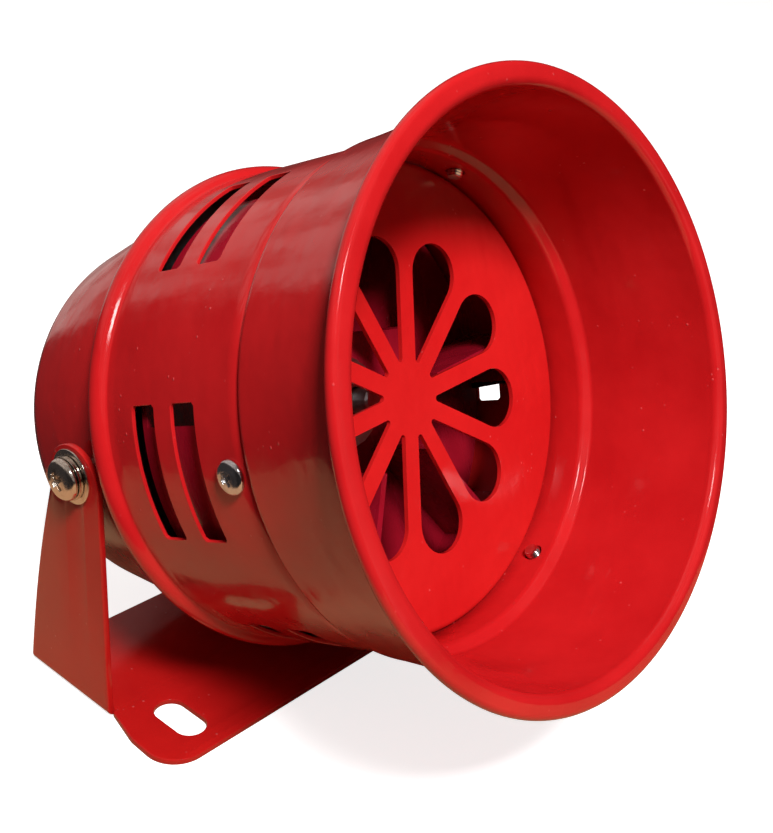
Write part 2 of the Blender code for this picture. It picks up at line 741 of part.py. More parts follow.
def make_motor_bolts(head):
    """Two long bolts from the end plate to the motor plate, with spacers and front nuts."""
    back = END_PLATE_Z - END_PLATE - FACE_GAP
    nut_front = MOTOR_PLATE_Z + FACE_GAP + 2.6
    shank_top = nut_front + 0.3
    head_back = back - 2.2
    profile = [
        (0.0, shank_top),
        (BOLT_RADIUS, shank_top),
        (BOLT_RADIUS, back),
        (SPACER_RADIUS, back),
        (SPACER_RADIUS, head_back),
        (0.0, head_back),
    ]
    bolt = turned_mesh(profile, SCREW_ROUND, closed=False)
    nut = hex_nut_mesh(7.0, 2 * BOLT_HOLE, 2.6)
    nut.transform(Matrix.Translation((0.0, 0.0, (nut_front - 1.3) * MM)))
    plate_back = MOTOR_PLATE_Z - MOTOR_PLATE - FACE_GAP
    front_spacer = ring_mesh(SPACER_RADIUS, BOLT_HOLE, STACK_FRONT_Z + FACE_GAP, plate_back)
    rear_spacer = ring_mesh(
        SPACER_RADIUS, BOLT_HOLE, END_PLATE_Z + FACE_GAP, STACK_BACK_Z - FACE_GAP
    )
    for level, sign in LEVELS:
        place = Matrix.Translation((0.0, sign * BOLT_Y * MM, 0.0))
        for name, mesh in (
            ("motor_bolt", bolt),
            ("motor_nut", nut),
            ("front_spacer", front_spacer),
            ("rear_spacer", rear_spacer),
        ):
            smooth(link_part(f"{name}_{level}", moved(mesh, place), ZINC, head))


def spring_wire(sign, start, end):
    """A coil spring along X behind a brush."""
    coil = []
    count = SPRING_TURNS * SPRING_STEPS
    for i in range(count + 1):
        y, z = polar(SPRING_RADIUS, 360.0 * i / SPRING_STEPS)
        coil.append((sign * (start + (end - start) * i / count), y, BRUSH_Z + z))
    return tube_mesh(coil, SPRING_TUBE, sides=0)


def make_brushes(head):
    """On each side a brush in its holder, pushed onto the commutator by a coil spring."""
    length, across, along = BRUSH_SIZE
    holder_length, holder_across, holder_along = HOLDER_SIZE
    brush_start = COMMUTATOR_RADIUS + 0.35
    spring_start = brush_start + length + 0.25
    spring_end = HOLDER_START_X + holder_length - 1.25
    for side, sign in SIDES:
        middle = HOLDER_START_X + holder_length / 2
        block = box_mesh(HOLDER_SIZE, (sign * middle, 0.0, BRUSH_Z))
        pocket_size = (holder_length, across + 0.6, along + 0.6)
        pocket = box_mesh(pocket_size, (sign * (middle - 1.0), 0.0, BRUSH_Z))
        holder = combine(block, [pocket], "DIFFERENCE")
        link_part(f"brush_holder_{side}", holder, BAKELITE, head)
        frame = add_frame(f"brush_frame_{side}", head, (sign * brush_start, 0.0, BRUSH_Z))
        brush = box_mesh(BRUSH_SIZE, (sign * length / 2, 0.0, 0.0))
        link_part(f"brush_{side}", brush, CARBON, frame)
        wire = spring_wire(sign, spring_start, spring_end)
        smooth(link_part(f"brush_spring_{side}", wire, SPRING_STEEL, head), 60.0)


# Rotating group


def make_shaft(spin):
    """The shaft, turned down at the front for the wheel's nut."""
    thread = SHAFT_RADIUS - 0.5
    step_z = ROTOR_BACK_Z + 4.0
    profile = [
        (0.0, SHAFT_FRONT_Z),
        (thread - 0.4, SHAFT_FRONT_Z),
        (thread, SHAFT_FRONT_Z - 0.4),
        (thread, step_z),
        (SHAFT_RADIUS, step_z),
        (SHAFT_RADIUS, SHAFT_BACK_Z),
        (0.0, SHAFT_BACK_Z),
    ]
    smooth(link_part("motor_shaft", turned_mesh(profile, SMALL_ROUND, closed=False), STEEL, spin))


def make_siren_wheel(spin):
    """The siren wheel: a disc with six radial vanes, each ending in a shutter along the rim."""
    disc = ring_mesh(ROTOR_RADIUS, 5.4, ROTOR_BACK_Z, ROTOR_BACK_Z + ROTOR_WALL, ROUND)
    rim = ring_mesh(ROTOR_RADIUS, ROTOR_RADIUS - ROTOR_WALL, ROTOR_BACK_Z + 0.4, ROTOR_FRONT_Z, ROUND)
    height = ROTOR_FRONT_Z - ROTOR_BACK_Z
    port_width = 2 * ROTOR_RADIUS * sin(radians(SLOT_HALF_ANGLE + 1.0))
    port_size = (20.0, port_width, height)
    port_centre = (ROTOR_RADIUS, 0.0, ROTOR_BACK_Z + ROTOR_WALL + height / 2)
    reach = ROTOR_RADIUS - ROTOR_WALL / 2 - VANE_INNER
    vane_size = (reach, ROTOR_WALL, height - 1.0)
    vane_centre = (VANE_INNER + reach / 2, 0.0, ROTOR_BACK_Z + height / 2)
    ports = []
    vanes = []
    pitch = radians(360.0 / ROTOR_VANES)
    for i in range(ROTOR_VANES):
        angle = radians(ROTOR_TURN) + pitch * i
        ports.append(box_mesh(port_size, port_centre, Matrix.Rotation(angle, 4, "Z")))
        vanes.append(box_mesh(vane_size, vane_centre, Matrix.Rotation(angle + pitch / 2, 4, "Z")))
    shutters = combine(rim, [joined_mesh(ports)], "DIFFERENCE")
    wheel = combine(combine(shutters, [disc], "UNION"), [joined_mesh(vanes)], "UNION")
    smooth(link_part("siren_wheel", wheel, WHEEL, spin))


def make_wheel_fixings(spin):
    """The hub the wheel sits on, its washer and its nut."""
    back = ROTOR_BACK_Z - FACE_GAP
    front = ROTOR_BACK_Z + 3.2
    bore = SHAFT_RADIUS + 0.2
    flange_back = back - 2.2
    profile = [
        (5.1, front),
        (5.1, back),
        (9.0, back),
        (9.0, flange_back),
        (bore, flange_back),
        (bore, front),
    ]
    smooth(link_part("wheel_hub", turned_mesh(profile, SMALL_ROUND), BRASS, spin))
    washer_back = front + FACE_GAP
    washer_front = washer_back + 1.2
    washer = ring_mesh(8.5, bore, washer_back, washer_front)
    smooth(link_part("wheel_washer", washer, ZINC, spin))
    nut_height = 3.2
    nut = hex_nut_mesh(8.0, 2 * SHAFT_RADIUS - 0.4, nut_height)
    nut.transform(Matrix.Translation((0.0, 0.0, (washer_front + FACE_GAP + nut_height / 2) * MM)))
    smooth(link_part("wheel_nut", nut, ZINC, spin))


def armature_outline():
    """Teeth with wide faces and round-bottomed slots between them."""
    pitch = 360.0 / ARMATURE_SLOTS
    points = []
    for i in range(ARMATURE_SLOTS):
        start = i * pitch
        for depth, shares in (
            (0.0, (0.1, 0.37, 0.63, 0.9)),
            (1.0, (0.9,)),
            (5.0, (0.8, 1.0, 1.2)),
            (1.0, (1.1,)),
        ):
            points += [polar(ARMATURE_RADIUS - depth, start + share * pitch) for share in shares]
    return points


def make_armature(spin):
    """The slotted core, the winding ends in front of and behind it, and the commutator."""
    depth = STACK_FRONT_Z - STACK_BACK_Z
    middle = (STACK_FRONT_Z + STACK_BACK_Z) / 2
    bore = circle(SHAFT_RADIUS + 0.2, SMALL_ROUND)
    core = extruded_mesh([armature_outline(), bore], depth, middle)
    smooth(link_part("armature_core", core, STEEL, spin), 20.0)
    for name, face_z, sign, length in (
        ("armature_winding_front", STACK_FRONT_Z + 0.3, 1, 4.0),
        ("armature_winding_rear", STACK_BACK_Z - 0.3, -1, 3.6),
    ):
        ends = [
            (4.2, 0.0),
            (4.2, length * 0.8),
            (7.0, length),
            (11.0, length * 0.8),
            (13.6, length * 0.3),
            (13.6, 0.0),
        ]
        profile = [(r, face_z + sign * d) for r, d in ends]
        smooth(link_part(name, turned_mesh(profile[::sign], SMALL_ROUND), ENAMEL, spin), 50.0)
    make_commutator(spin)


def make_commutator(spin):
    """Copper bars round the shaft, with narrow grooves between them."""
    pitch = 360.0 / COMMUTATOR_BARS
    outline = []
    for i in range(COMMUTATOR_BARS):
        start = i * pitch
        for depth, shares in ((0.0, (0.06, 0.5, 0.94)), (0.5, (0.96, 1.04))):
            radius = COMMUTATOR_RADIUS - depth
            outline += [polar(radius, start + share * pitch) for share in shares]
    bars = extruded_mesh([outline, circle(SHAFT_RADIUS + 0.2, SMALL_ROUND)], 6.2, BRUSH_Z)
    smooth(link_part("commutator", bars, COPPER, spin), 20.0)


def main():
    tilt = (radians(90.0 - HEAD_TILT), 0.0, 0.0)
    head = add_frame("head_frame", None, (0.0, 0.0, PIVOT_HEIGHT), tilt)
    spin = add_frame("spin_frame", head, (0.0, 0.0, 0.0))
    make_bracket()
    make_horn(head)
    make_guard(head)
    make_drum(head)
    make_cover(head)
    make_grommet(head)
    make_drum_screws(head)
    make_pivot_hardware(head)
    make_motor_plate(head)
    make_bearings(head)
    make_end_plate(head)
    make_field(head)
    make_motor_bolts(head)
    make_brushes(head)
    make_shaft(spin)
    make_siren_wheel(spin)
    make_wheel_fixings(spin)
    make_armature(spin)


clear_scene()
add_collection("alarm_siren")
add_collection("cutters")
RED = principled("red_enamel", (0.62, 0.02, 0.02), 0.22, 0.0)
NICKEL = principled("nickel_plate", (0.72, 0.70, 0.67), 0.2, 1.0)
ZINC = principled("zinc_plate", (0.62, 0.63, 0.62), 0.38, 1.0)
STEEL = principled("bare_steel", (0.45, 0.45, 0.46), 0.4, 1.0)
SPRING_STEEL = principled("spring_steel", (0.5, 0.5, 0.52), 0.3, 1.0)
BRONZE = principled("sintered_bronze", (0.60, 0.38, 0.18), 0.5, 1.0)
BRASS = principled("brass", (0.78, 0.58, 0.25), 0.35, 1.0)
COPPER = principled("copper", (0.80, 0.42, 0.25), 0.3, 1.0)
ENAMEL = principled("winding_enamel", (0.45, 0.16, 0.06), 0.35, 0.0)
WHEEL = principled("wheel_paint", (0.45, 0.02, 0.02), 0.3, 0.0)
CARBON = principled("carbon", (0.03, 0.03, 0.03), 0.6, 0.0)
BAKELITE = principled("bakelite", (0.05, 0.03, 0.02), 0.4, 0.0)
RUBBER = principled("rubber", (0.02, 0.02, 0.02), 0.7, 0.0)
main()
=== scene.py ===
"""Looks of the alarm siren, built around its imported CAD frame.

Sizes are in millimetres unless a comment says otherwise, and MM turns them into Blender's metres.
Pieces of the head are modelled in the head's own frame: its origin is on the pivot axis, +X along
that axis, +Y up and +Z out of the horn's mouth. Depths are measured back from the mouth.
"""

import json
from math import atan2, cos, degrees, pi, radians, sin, sqrt

import bmesh
import bpy
from mathutils import Matrix, Vector


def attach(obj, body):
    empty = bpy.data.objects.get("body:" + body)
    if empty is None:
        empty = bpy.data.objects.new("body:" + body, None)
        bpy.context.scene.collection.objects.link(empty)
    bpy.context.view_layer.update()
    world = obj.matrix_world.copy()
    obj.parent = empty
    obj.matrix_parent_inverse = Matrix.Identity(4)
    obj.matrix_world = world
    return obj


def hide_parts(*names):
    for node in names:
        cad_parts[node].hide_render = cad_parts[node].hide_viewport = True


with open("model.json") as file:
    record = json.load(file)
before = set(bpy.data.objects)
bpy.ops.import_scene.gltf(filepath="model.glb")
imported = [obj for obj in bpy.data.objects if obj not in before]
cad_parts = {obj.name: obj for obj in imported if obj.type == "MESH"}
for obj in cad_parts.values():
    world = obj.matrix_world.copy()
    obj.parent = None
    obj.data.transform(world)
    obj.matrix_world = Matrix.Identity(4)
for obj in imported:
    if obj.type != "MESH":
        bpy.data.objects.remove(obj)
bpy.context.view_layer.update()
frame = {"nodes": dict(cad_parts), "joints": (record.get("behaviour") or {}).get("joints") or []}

MM = 0.001
joints = {joint["name"]: joint for joint in frame["joints"]}
PIVOT = Vector(joints["head_tilt"]["pos_m"])
FORWARD = Vector(joints["rotor_spin"]["axis"]).normalized()


def frame_from(origin, x_axis, z_axis):
    """A placing matrix whose X and Z axes point as given."""
    x = Vector(x_axis).normalized()
    z = Vector(z_axis).normalized()
    turn = Matrix((x, z.cross(x), z)).transposed()
    return Matrix.Translation(origin) @ turn.to_4x4()


HEAD = frame_from(PIVOT, (1.0, 0.0, 0.0), FORWARD)
WORLD = Matrix.Identity(4)


def furthest_forward(node):
    """How far a CAD node reaches along the siren's axis from the pivot, in millimetres."""
    back = HEAD.inverted()
    return max((back @ v.co).z for v in frame["nodes"][node].data.vertices) / MM


# Shells, as in the CAD
MOUTH_Z = furthest_forward("horn")
MOUTH_RADIUS = 50.0
HORN_WALL = 0.8
LIP_CURL = 0.7  # bend radius of the mouth's curled edge
LIP_BEND = 1.2
NECK_RADIUS = 41.95
NECK_DEPTH = 35.5
SEAM_DEPTH = 26.3
SHOULDER_RADIUS = 43.72
SHOULDER_DEPTH = 26.0
STEP_DEPTH = 27.3
# The bell's mid-wall between lip and shoulder: (depth behind the mouth, radius)
BELL = ((1.5, 46.45), (5.8, 46.0), (11.7, 45.1), (18.0, 44.3), (23.9, 43.8))

DRUM_RADIUS = 43.3
DRUM_WALL = 0.7
DRUM_GAP = 0.75  # from the horn's seam back to the drum's rolled front edge
DRUM_ROLL = ((0.9, 0.0), (0.2, 0.25))  # the rolled edge: (radius lost, depth behind the gap)
DRUM_ROLL_DEPTH = 0.6
BEAD_DEPTH = 62.8
BEAD_RADIUS = 1.75
SLOT_GROUPS = 6
SLOT_HALF_ANGLE = 14.9
SLOT_LENGTH = 5.7
SLOT_DEPTHS = (40.6, 50.8)
SLOT_CORNER = 0.45
GRID_STEP = 2.0
GRID_TURN = 1.8  # degrees

GUARD_RADIUS = 41.3
GUARD_DEPTH = 33.5
GUARD_WALL = 0.9
GUARD_RIM = 3.0
GUARD_INSET = 0.27
GUARD_BEND = 0.9
PETALS = 10
PETAL_TURN = -15.0
PETAL_INNER = 6.6
PETAL_OUTER = 28.6
PETAL_WEB = 3.3

COVER_RADIUS = 42.3
COVER_WALL = 0.7
COVER_DRAFT = 0.2
COVER_SHOULDER_DEPTH = 95.1
COVER_SHOULDER = 14.0
COVER_BACK_DEPTH = 106.1
COVER_FRONT_RADIUS = 43.5
OUTLET_RADIUS = 3.9
GROMMET_Y = -13.0

# Bracket
SHEET = 1.2
ARM_OUTER_X = 43.4
ARM_RADIUS = 6.8
ARM_TOP = 5.6
ARM_FRONT_Y = -7.8
ARM_REAR_Y = 16.4
ARM_BOW = 0.9
BEND_RADIUS = 1.7
PLATE_HALF_WIDTH = 45.2
PLATE_FRONT_Y = -27.6
PLATE_CORNER = 6.5
BASE_SLOT_X = 34.7
BASE_SLOT_Y = -17.6
BASE_SLOT_WIDTH = 6.0
BASE_SLOT_LENGTH = 11.6

# Fasteners
GAP = 0.06
DRUM_THREAD = 3.0
DRUM_HEAD = (5.6, 1.3)  # diameter, height
DRUM_SCREW_DEPTH = 30.7
DRUM_SCREW_TIP = 40.4
DRUM_SCREW_HOLE = 1.75
DRUM_SCREW_ANGLES = (180.0, 60.0, -60.0)
PIVOT_THREAD = 4.0
PIVOT_HEAD = (7.6, 1.8)
PIVOT_SCREW_TIP = 33.6
PIVOT_HOLE = 2.3
WASHER_BORE = 2.25
FLAT_WASHER = (5.0, 0.5)  # radius, thickness
SPRING_WASHER = (8.0, 0.9)  # diameter, thickness
NUT_ACROSS = 7.0
NUT_THICKNESS = 3.0
PIVOT_NUT_X = 36.9

# Siren wheel
WHEEL_RADIUS = 41.1
WHEEL_FRONT = 37.4
WHEEL_BACK = 54.1
WHEEL_WALL = 1.2
WHEEL_VANES = 6
WHEEL_TURN = -26.0
VANE_INNER = 13.0
HUB_HOLE = 5.4
PORT_REACH = 20.0

TURN = 192  # facets around the shells
SMALL_TURN = 48

# Camera, in metres and degrees
CAMERA_AT = (-0.14807, -0.15511, 0.14748)
CAMERA_AIM = (-0.01566, -0.04537, 0.06670)
CAMERA_ROLL = 4.46
CAMERA_LENS = 51.86
CAMERA_SENSOR = 36.0

# What surrounds the siren, as linear colours
WALL_LIGHT = (0.62, 0.54, 0.50)
SHADE_LIGHT = (0.20, 0.15, 0.13)
DARK_LIGHT = (0.035, 0.03, 0.03)
WALL_EDGE = (0.8, 0.0, 1.0)  # the pale wall is where the view's direction along this is positive
FRONT_SHARE = 0.5  # of the wall's light that comes from in front
SIDE_SHARE = 0.08  # of it that comes from the right
BACKDROP = (0.9, 0.9, 0.9, 1.0)

# The warm board's corners and both lights, in metres and watts: (at, aim, side, power)
BOARD = ((-0.115, -0.32), (0.16, 0.08))
FLOOR = ((-6.0, -6.0), (6.0, 6.0))
KEY = ((-0.32, -0.56, 0.85), (0.0, 0.0, 0.06), 0.20, 12.8)
GLINT = ((-0.25, -0.60, 0.85), (0.0, 0.0, 0.06), 0.14, 1.4)

SIDES = (("left", -1), ("right", 1))


# Shapes


def polar(radius, angle):
    """The point at a radius and an angle in degrees."""
    return radius * cos(radians(angle)), radius * sin(radians(angle))


def arc(centre, radius, start, end, steps):
    """Points along an arc, angles in degrees, both ends included."""
    angles = [start + (end - start) * i / steps for i in range(steps + 1)]
    return [(centre[0] + polar(radius, a)[0], centre[1] + polar(radius, a)[1]) for a in angles]


def circle(radius, steps, centre=(0.0, 0.0)):
    """A full circle of that many points."""
    return arc(centre, radius, 0.0, 360.0 * (steps - 1) / steps, steps - 1)


def rounded(points, closed=True, steps=5):
    """A polyline whose points may carry a corner radius as a third number."""
    result = []
    count = len(points)
    for i, point in enumerate(points):
        corner = Vector(point[:2])
        radius = point[2] if len(point) > 2 else 0.0
        at_end = not closed and i in (0, count - 1)
        if not radius or at_end:
            result.append(tuple(corner))
            continue
        before = (Vector(points[i - 1][:2]) - corner).normalized()
        after = (Vector(points[(i + 1) % count][:2]) - corner).normalized()
        half = before.angle(after) / 2
        reach = radius / max(sin(half), 0.001) * cos(half)
        start = corner + before * reach
        end = corner + after * reach
        centre = corner + (before + after).normalized() * (radius / sin(half))
        first = atan2(*(start - centre).yx)
        swing = (atan2(*(end - centre).yx) - first + pi) % (2 * pi) - pi
        for k in range(steps + 1):
            angle = first + swing * k / steps
            result.append((centre.x + radius * cos(angle), centre.y + radius * sin(angle)))
    return result


def smooth_line(points, per_span):
    """A Catmull-Rom curve through the points."""
    padded = [points[0], *points, points[-1]]
    result = []
    for i in range(1, len(padded) - 2):
        p0, p1, p2, p3 = (Vector(padded[i + k]) for k in (-1, 0, 1, 2))
        for k in range(per_span):
            t = k / per_span
            bend = (2 * p0 - 5 * p1 + 4 * p2 - p3) * t * t + (3 * p1 - p0 - 3 * p2 + p3) * t ** 3
            result.append(tuple((2 * p1 + (p2 - p0) * t + bend) / 2))
    return [*result, tuple(points[-1])]


def sheet_section(centre_line, wall):
    """The closed outline of a sheet along a centre line, with half-round ends."""
    sides = ([], [])
    last = len(centre_line) - 1
    tangents = []
    for i, point in enumerate(centre_line):
        before = Vector(centre_line[max(i - 1, 0)])
        after = Vector(centre_line[min(i + 1, last)])
        tangent = (after - before).normalized()
        tangents.append(tangent)
        normal = Vector((-tangent.y, tangent.x)) * (wall / 2)
        sides[0].append(tuple(Vector(point) + normal))
        sides[1].append(tuple(Vector(point) - normal))
    caps = []
    for end, sign in ((last, 1), (0, -1)):
        out = tangents[end] * sign
        across = Vector((-tangents[end].y, tangents[end].x)) * sign
        cap = []
        for angle in (45.0, 0.0, -45.0):
            step = across * sin(radians(angle)) + out * cos(radians(angle))
            cap.append(tuple(Vector(centre_line[end]) + step * (wall / 2)))
        caps.append(cap)
    return [*sides[0], *caps[0], *sides[1][::-1], *caps[1]]


def mesh_from(vertices, faces):
    """A mesh in metres from vertices in millimetres."""
    mesh = bpy.data.meshes.new("shape")
    mesh.from_pydata([tuple(Vector(v) * MM) for v in vertices], [], faces)
    tidy_normals(mesh)
    return mesh


def tidy_normals(mesh):
    """Merges doubled vertices and turns all faces outwards."""
    work = bmesh.new()
    work.from_mesh(mesh)
    bmesh.ops.remove_doubles(work, verts=work.verts, dist=0.000001)
    bmesh.ops.recalc_face_normals(work, faces=work.faces)
    work.to_mesh(mesh)
    work.free()


def turned(profile, steps=TURN):
    """Spins a closed (radius, z) outline about Z. Points on the axis become poles."""
    rings = []
    vertices = []
    for r, z in profile:
        if r < 0.0001:
            rings.append([len(vertices)] * steps)
            vertices.append((0.0, 0.0, z))
            continue
        rings.append(list(range(len(vertices), len(vertices) + steps)))
        vertices += [(*polar(r, 360.0 * i / steps), z) for i in range(steps)]
    faces = []
    for a, b in zip(rings, rings[1:] + rings[:1]):
        if a[0] == a[1] and b[0] == b[1]:
            continue
        for i in range(steps):
            k = (i + 1) % steps
            corners = dict.fromkeys((a[i], a[k], b[k], b[i]))
            faces.append(tuple(corners))
    return mesh_from(vertices, faces)


def plate(outlines, thickness, edge=0.0, centre_z=0.0):
    """A flat sheet in the XY plane with rounded edges: the first outline is its rim, the rest holes."""
    curve = bpy.data.curves.new("outline", "CURVE")
    curve.dimensions = "2D"
    curve.fill_mode = "BOTH"
    curve.extrude = (thickness / 2 - edge) * MM
    curve.bevel_depth = edge * MM
    curve.bevel_resolution = 2
    curve.offset = -edge * MM
    for outline in outlines:
        spline = curve.splines.new("POLY")
        spline.points.add(len(outline) - 1)
        for point, (x, y) in zip(spline.points, outline):
            point.co = (x * MM, y * MM, 0.0, 1.0)
        spline.use_cyclic_u = True
    mesh = baked(bpy.data.objects.new("plate", curve))
    mesh.transform(Matrix.Translation((0.0, 0.0, centre_z * MM)))
    tidy_normals(mesh)
    return mesh


def baked(obj):
    """The evaluated mesh of a helper object, which is then removed."""
    bpy.context.scene.collection.objects.link(obj)
    bpy.context.view_layer.update()
    graph = bpy.context.evaluated_depsgraph_get()
    mesh = bpy.data.meshes.new_from_object(obj.evaluated_get(graph))
    bpy.data.objects.remove(obj, do_unlink=True)
    return mesh


def block(size, centre, turn, taper=1.0):
    """A box in place and then turned, its lower face scaled by taper."""
    work = bmesh.new()
    bmesh.ops.create_cube(work, size=1.0)
    for vertex in work.verts:
        if vertex.co.z < 0.0:
            vertex.co.xy *= taper
    place = Matrix.Translation(Vector(centre) * MM) @ Matrix.Diagonal((*(Vector(size) * MM), 1.0))
    work.transform(turn @ place)
    mesh = bpy.data.meshes.new("block")
    work.to_mesh(mesh)
    work.free()
    return mesh


def joined(meshes):
    """Several meshes as one, without a Boolean."""
    work = bmesh.new()
    for mesh in meshes:
        work.from_mesh(mesh)
    result = bpy.data.meshes.new("joined")
    work.to_mesh(result)
    work.free()
    return result


def combined(mesh, other, operation):
    """The mesh after one Boolean with another mesh."""
    base = bpy.data.objects.new("base", mesh)
    tool = bpy.data.objects.new("tool", other)
    bpy.context.scene.collection.objects.link(tool)
    modifier = base.modifiers.new("Boolean", "BOOLEAN")
    modifier.operation = operation
    modifier.object = tool
    result = baked(base)
    bpy.data.objects.remove(tool, do_unlink=True)
    tidy_normals(result)
    return result


def moved(mesh, matrix):
    """A transformed copy."""
    copy = mesh.copy()
    copy.transform(matrix)
    return copy


def rod(radius, back_z, front_z, steps=SMALL_TURN):
    """A solid cylinder about Z."""
    return turned([(0.0, front_z), (radius, front_z), (radius, back_z), (0.0, back_z)], steps)


def radial(angle, depth):
    """A frame on the siren's axis whose Z axis points outwards."""
    out = Matrix.Rotation(radians(90.0), 4, "Y")
    around = Matrix.Rotation(radians(angle), 4, "Z")
    return Matrix.Translation((0.0, 0.0, (MOUTH_Z - depth) * MM)) @ around @ out


def soften(obj, width, segments=3, angle=40.0):
    """Rounds the piece's sharp edges, and keeps its flat faces looking flat."""
    bevel = obj.modifiers.new("Rounded edges", "BEVEL")
    bevel.width = width * MM
    bevel.segments = segments
    bevel.limit_method = "ANGLE"
    bevel.angle_limit = radians(angle)
    bevel.harden_normals = True


def piece(name, mesh, body, material, replaced=(), place=HEAD, sharp=35.0):
    """A finished piece: smooth-shaded, in place, riding on its body and standing for its CAD nodes."""
    mesh.name = name
    mesh.transform(place)
    mesh.materials.clear()
    mesh.materials.append(material)
    mesh.shade_smooth()
    mesh.set_sharp_from_angle(angle=radians(sharp))
    obj = bpy.data.objects.new(name, mesh)
    bpy.context.scene.collection.objects.link(obj)
    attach(obj, body)
    if replaced:
        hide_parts(*replaced)
    return obj


# Materials


def add_node(tree, kind, values=None, **links):
    """A node with its settings or constant inputs, and with other nodes' outputs linked in."""
    node = tree.nodes.new(kind)
    for key, value in (values or {}).items():
        if key in node.inputs:
            node.inputs[key].default_value = value
        else:
            setattr(node, key, value)
    for key, output in links.items():
        tree.links.new(output, node.inputs[key.replace("_", " ")])
    return node


def new_material(name, constants):
    """A Principled material, its object coordinates and its shader, with constants on the sockets."""
    material = bpy.data.materials.new(name)
    material.use_nodes = True
    tree = material.node_tree
    shader = tree.nodes["Principled BSDF"]
    for key, value in constants.items():
        shader.inputs[key].default_value = value
    coords = add_node(tree, "ShaderNodeTexCoord").outputs["Object"]
    upright = {"Rotation": HEAD.to_3x3().inverted().to_euler()}
    coords = add_node(tree, "ShaderNodeMapping", upright, Vector=coords).outputs[0]
    return material, tree, shader, coords


def noise(tree, coords, scale, detail=2.0, stretch=None):
    """Noise over the object's own coordinates; scale is in features per metre."""
    if stretch:
        coords = add_node(tree, "ShaderNodeMapping", {"Scale": stretch}, Vector=coords).outputs[0]
    values = {"Scale": scale, "Detail": detail, "Roughness": 0.55}
    return add_node(tree, "ShaderNodeTexNoise", values, Vector=coords).outputs["Fac"]


def math_node(tree, operation, first, second):
    """One arithmetic step between two outputs."""
    node = add_node(tree, "ShaderNodeMath", {"operation": operation})
    tree.links.new(first, node.inputs[0])
    tree.links.new(second, node.inputs[1])
    return node.outputs[0]


def ramp(tree, source, stops):
    """A colour ramp through (position, colour) stops."""
    node = add_node(tree, "ShaderNodeValToRGB", Fac=source)
    elements = node.color_ramp.elements
    while len(elements) < len(stops):
        elements.new(0.5)
    for element, (position, colour) in zip(elements, stops):
        element.position = position
        element.color = (*colour, 1.0)
    return node.outputs["Color"]


def span(tree, source, low, high, start=0.3, end=0.7):
    """Maps the source's middle range to low and high."""
    values = {"From Min": start, "From Max": end, "To Min": low, "To Max": high}
    return add_node(tree, "ShaderNodeMapRange", values, Value=source).outputs["Result"]


def bumps(tree, shader, layers):
    """Stacks height fields, each (height, depth in metres), into the shader's normal."""
    normal = None
    for height, distance in layers:
        links = {"Height": height}
        if normal:
            links["Normal"] = normal
        normal = add_node(tree, "ShaderNodeBump", {"Distance": distance}, **links).outputs[0]
    tree.links.new(normal, shader.inputs["Normal"])


def dust(tree, coords):
    """Small raised dots, scattered in patches."""
    cells = add_node(tree, "ShaderNodeTexVoronoi", {"Scale": 560.0}, Vector=coords)
    near = span(tree, cells.outputs["Distance"], 1.0, 0.0, 0.05, 0.16)
    some = span(tree, noise(tree, coords, 150.0, 1.0), 0.0, 1.0, 0.60, 0.68)
    return math_node(tree, "MULTIPLY", near, some)


def enamel(name, deep, bright, gloss=(0.12, 0.24), waves=0.00022):
    """Glossy red enamel: cloudy tone, wavy thick coat, orange peel, runs, dust specks and fine rubs."""
    constants = {
        "Specular IOR Level": 0.4,
        "Coat Weight": 0.35,
        "Coat Roughness": 0.03,
        "Coat IOR": 1.5,
    }
    material, tree, shader, coords = new_material(name, constants)
    tone = ramp(tree, noise(tree, coords, 45.0, 5.0), ((0.35, deep), (0.65, bright)))
    dots = dust(tree, coords)
    fleck = tuple(min(1.0, channel * 1.1 + 0.06) for channel in bright)
    mixed = add_node(tree, "ShaderNodeMix", {"data_type": "RGBA"})
    tree.links.new(dots, mixed.inputs[0])
    tree.links.new(tone, mixed.inputs[6])
    mixed.inputs[7].default_value = (*fleck, 1.0)
    tree.links.new(mixed.outputs[2], shader.inputs["Base Color"])
    rubs = noise(tree, coords, 240.0, 5.0, (1.0, 0.12, 1.0))
    tree.links.new(span(tree, rubs, gloss[0], gloss[1], 0.35, 0.7), shader.inputs["Roughness"])
    wave = noise(tree, coords, 120.0, 2.0)
    runs = noise(tree, coords, 260.0, 1.0, (1.0, 0.3, 1.0))
    peel = noise(tree, coords, 1100.0, 1.0)
    bumps(tree, shader, [(wave, waves), (runs, waves * 0.4), (peel, 0.000012), (dots, 0.00008)])
    return material


def plated(name, colour, stain, roughness, stain_at=(0.45, 0.7)):
    """Bright or dull plating with patches of tarnish and fine handling marks."""
    material, tree, shader, coords = new_material(name, {"Metallic": 1.0})
    patches = noise(tree, coords, 420.0, 4.0)
    tone = ramp(tree, patches, ((stain_at[0], colour), (stain_at[1], stain)))
    tree.links.new(tone, shader.inputs["Base Color"])
    marks = noise(tree, coords, 1400.0, 3.0, (1.0, 0.15, 1.0))
    tree.links.new(span(tree, marks, roughness[0], roughness[1]), shader.inputs["Roughness"])
    bumps(tree, shader, [(patches, 0.00004), (marks, 0.00001)])
    return material


def laminated(name, light, dark, pitch):
    """Edges of stacked steel sheets, seen as fine bands along the siren's axis."""
    material, tree, shader, coords = new_material(name, {"Metallic": 1.0})
    scale = 0.31 / (pitch * MM)
    values = {"wave_type": "BANDS", "bands_direction": "Z", "Scale": scale, "Distortion": 0.4}
    bands = add_node(tree, "ShaderNodeTexWave", values, Vector=coords).outputs["Fac"]
    tree.links.new(ramp(tree, bands, ((0.2, dark), (0.6, light))), shader.inputs["Base Color"])
    oil = noise(tree, coords, 150.0, 3.0)
    tree.links.new(span(tree, oil, 0.3, 0.55), shader.inputs["Roughness"])
    bumps(tree, shader, [(bands, 0.00008)])
    return material


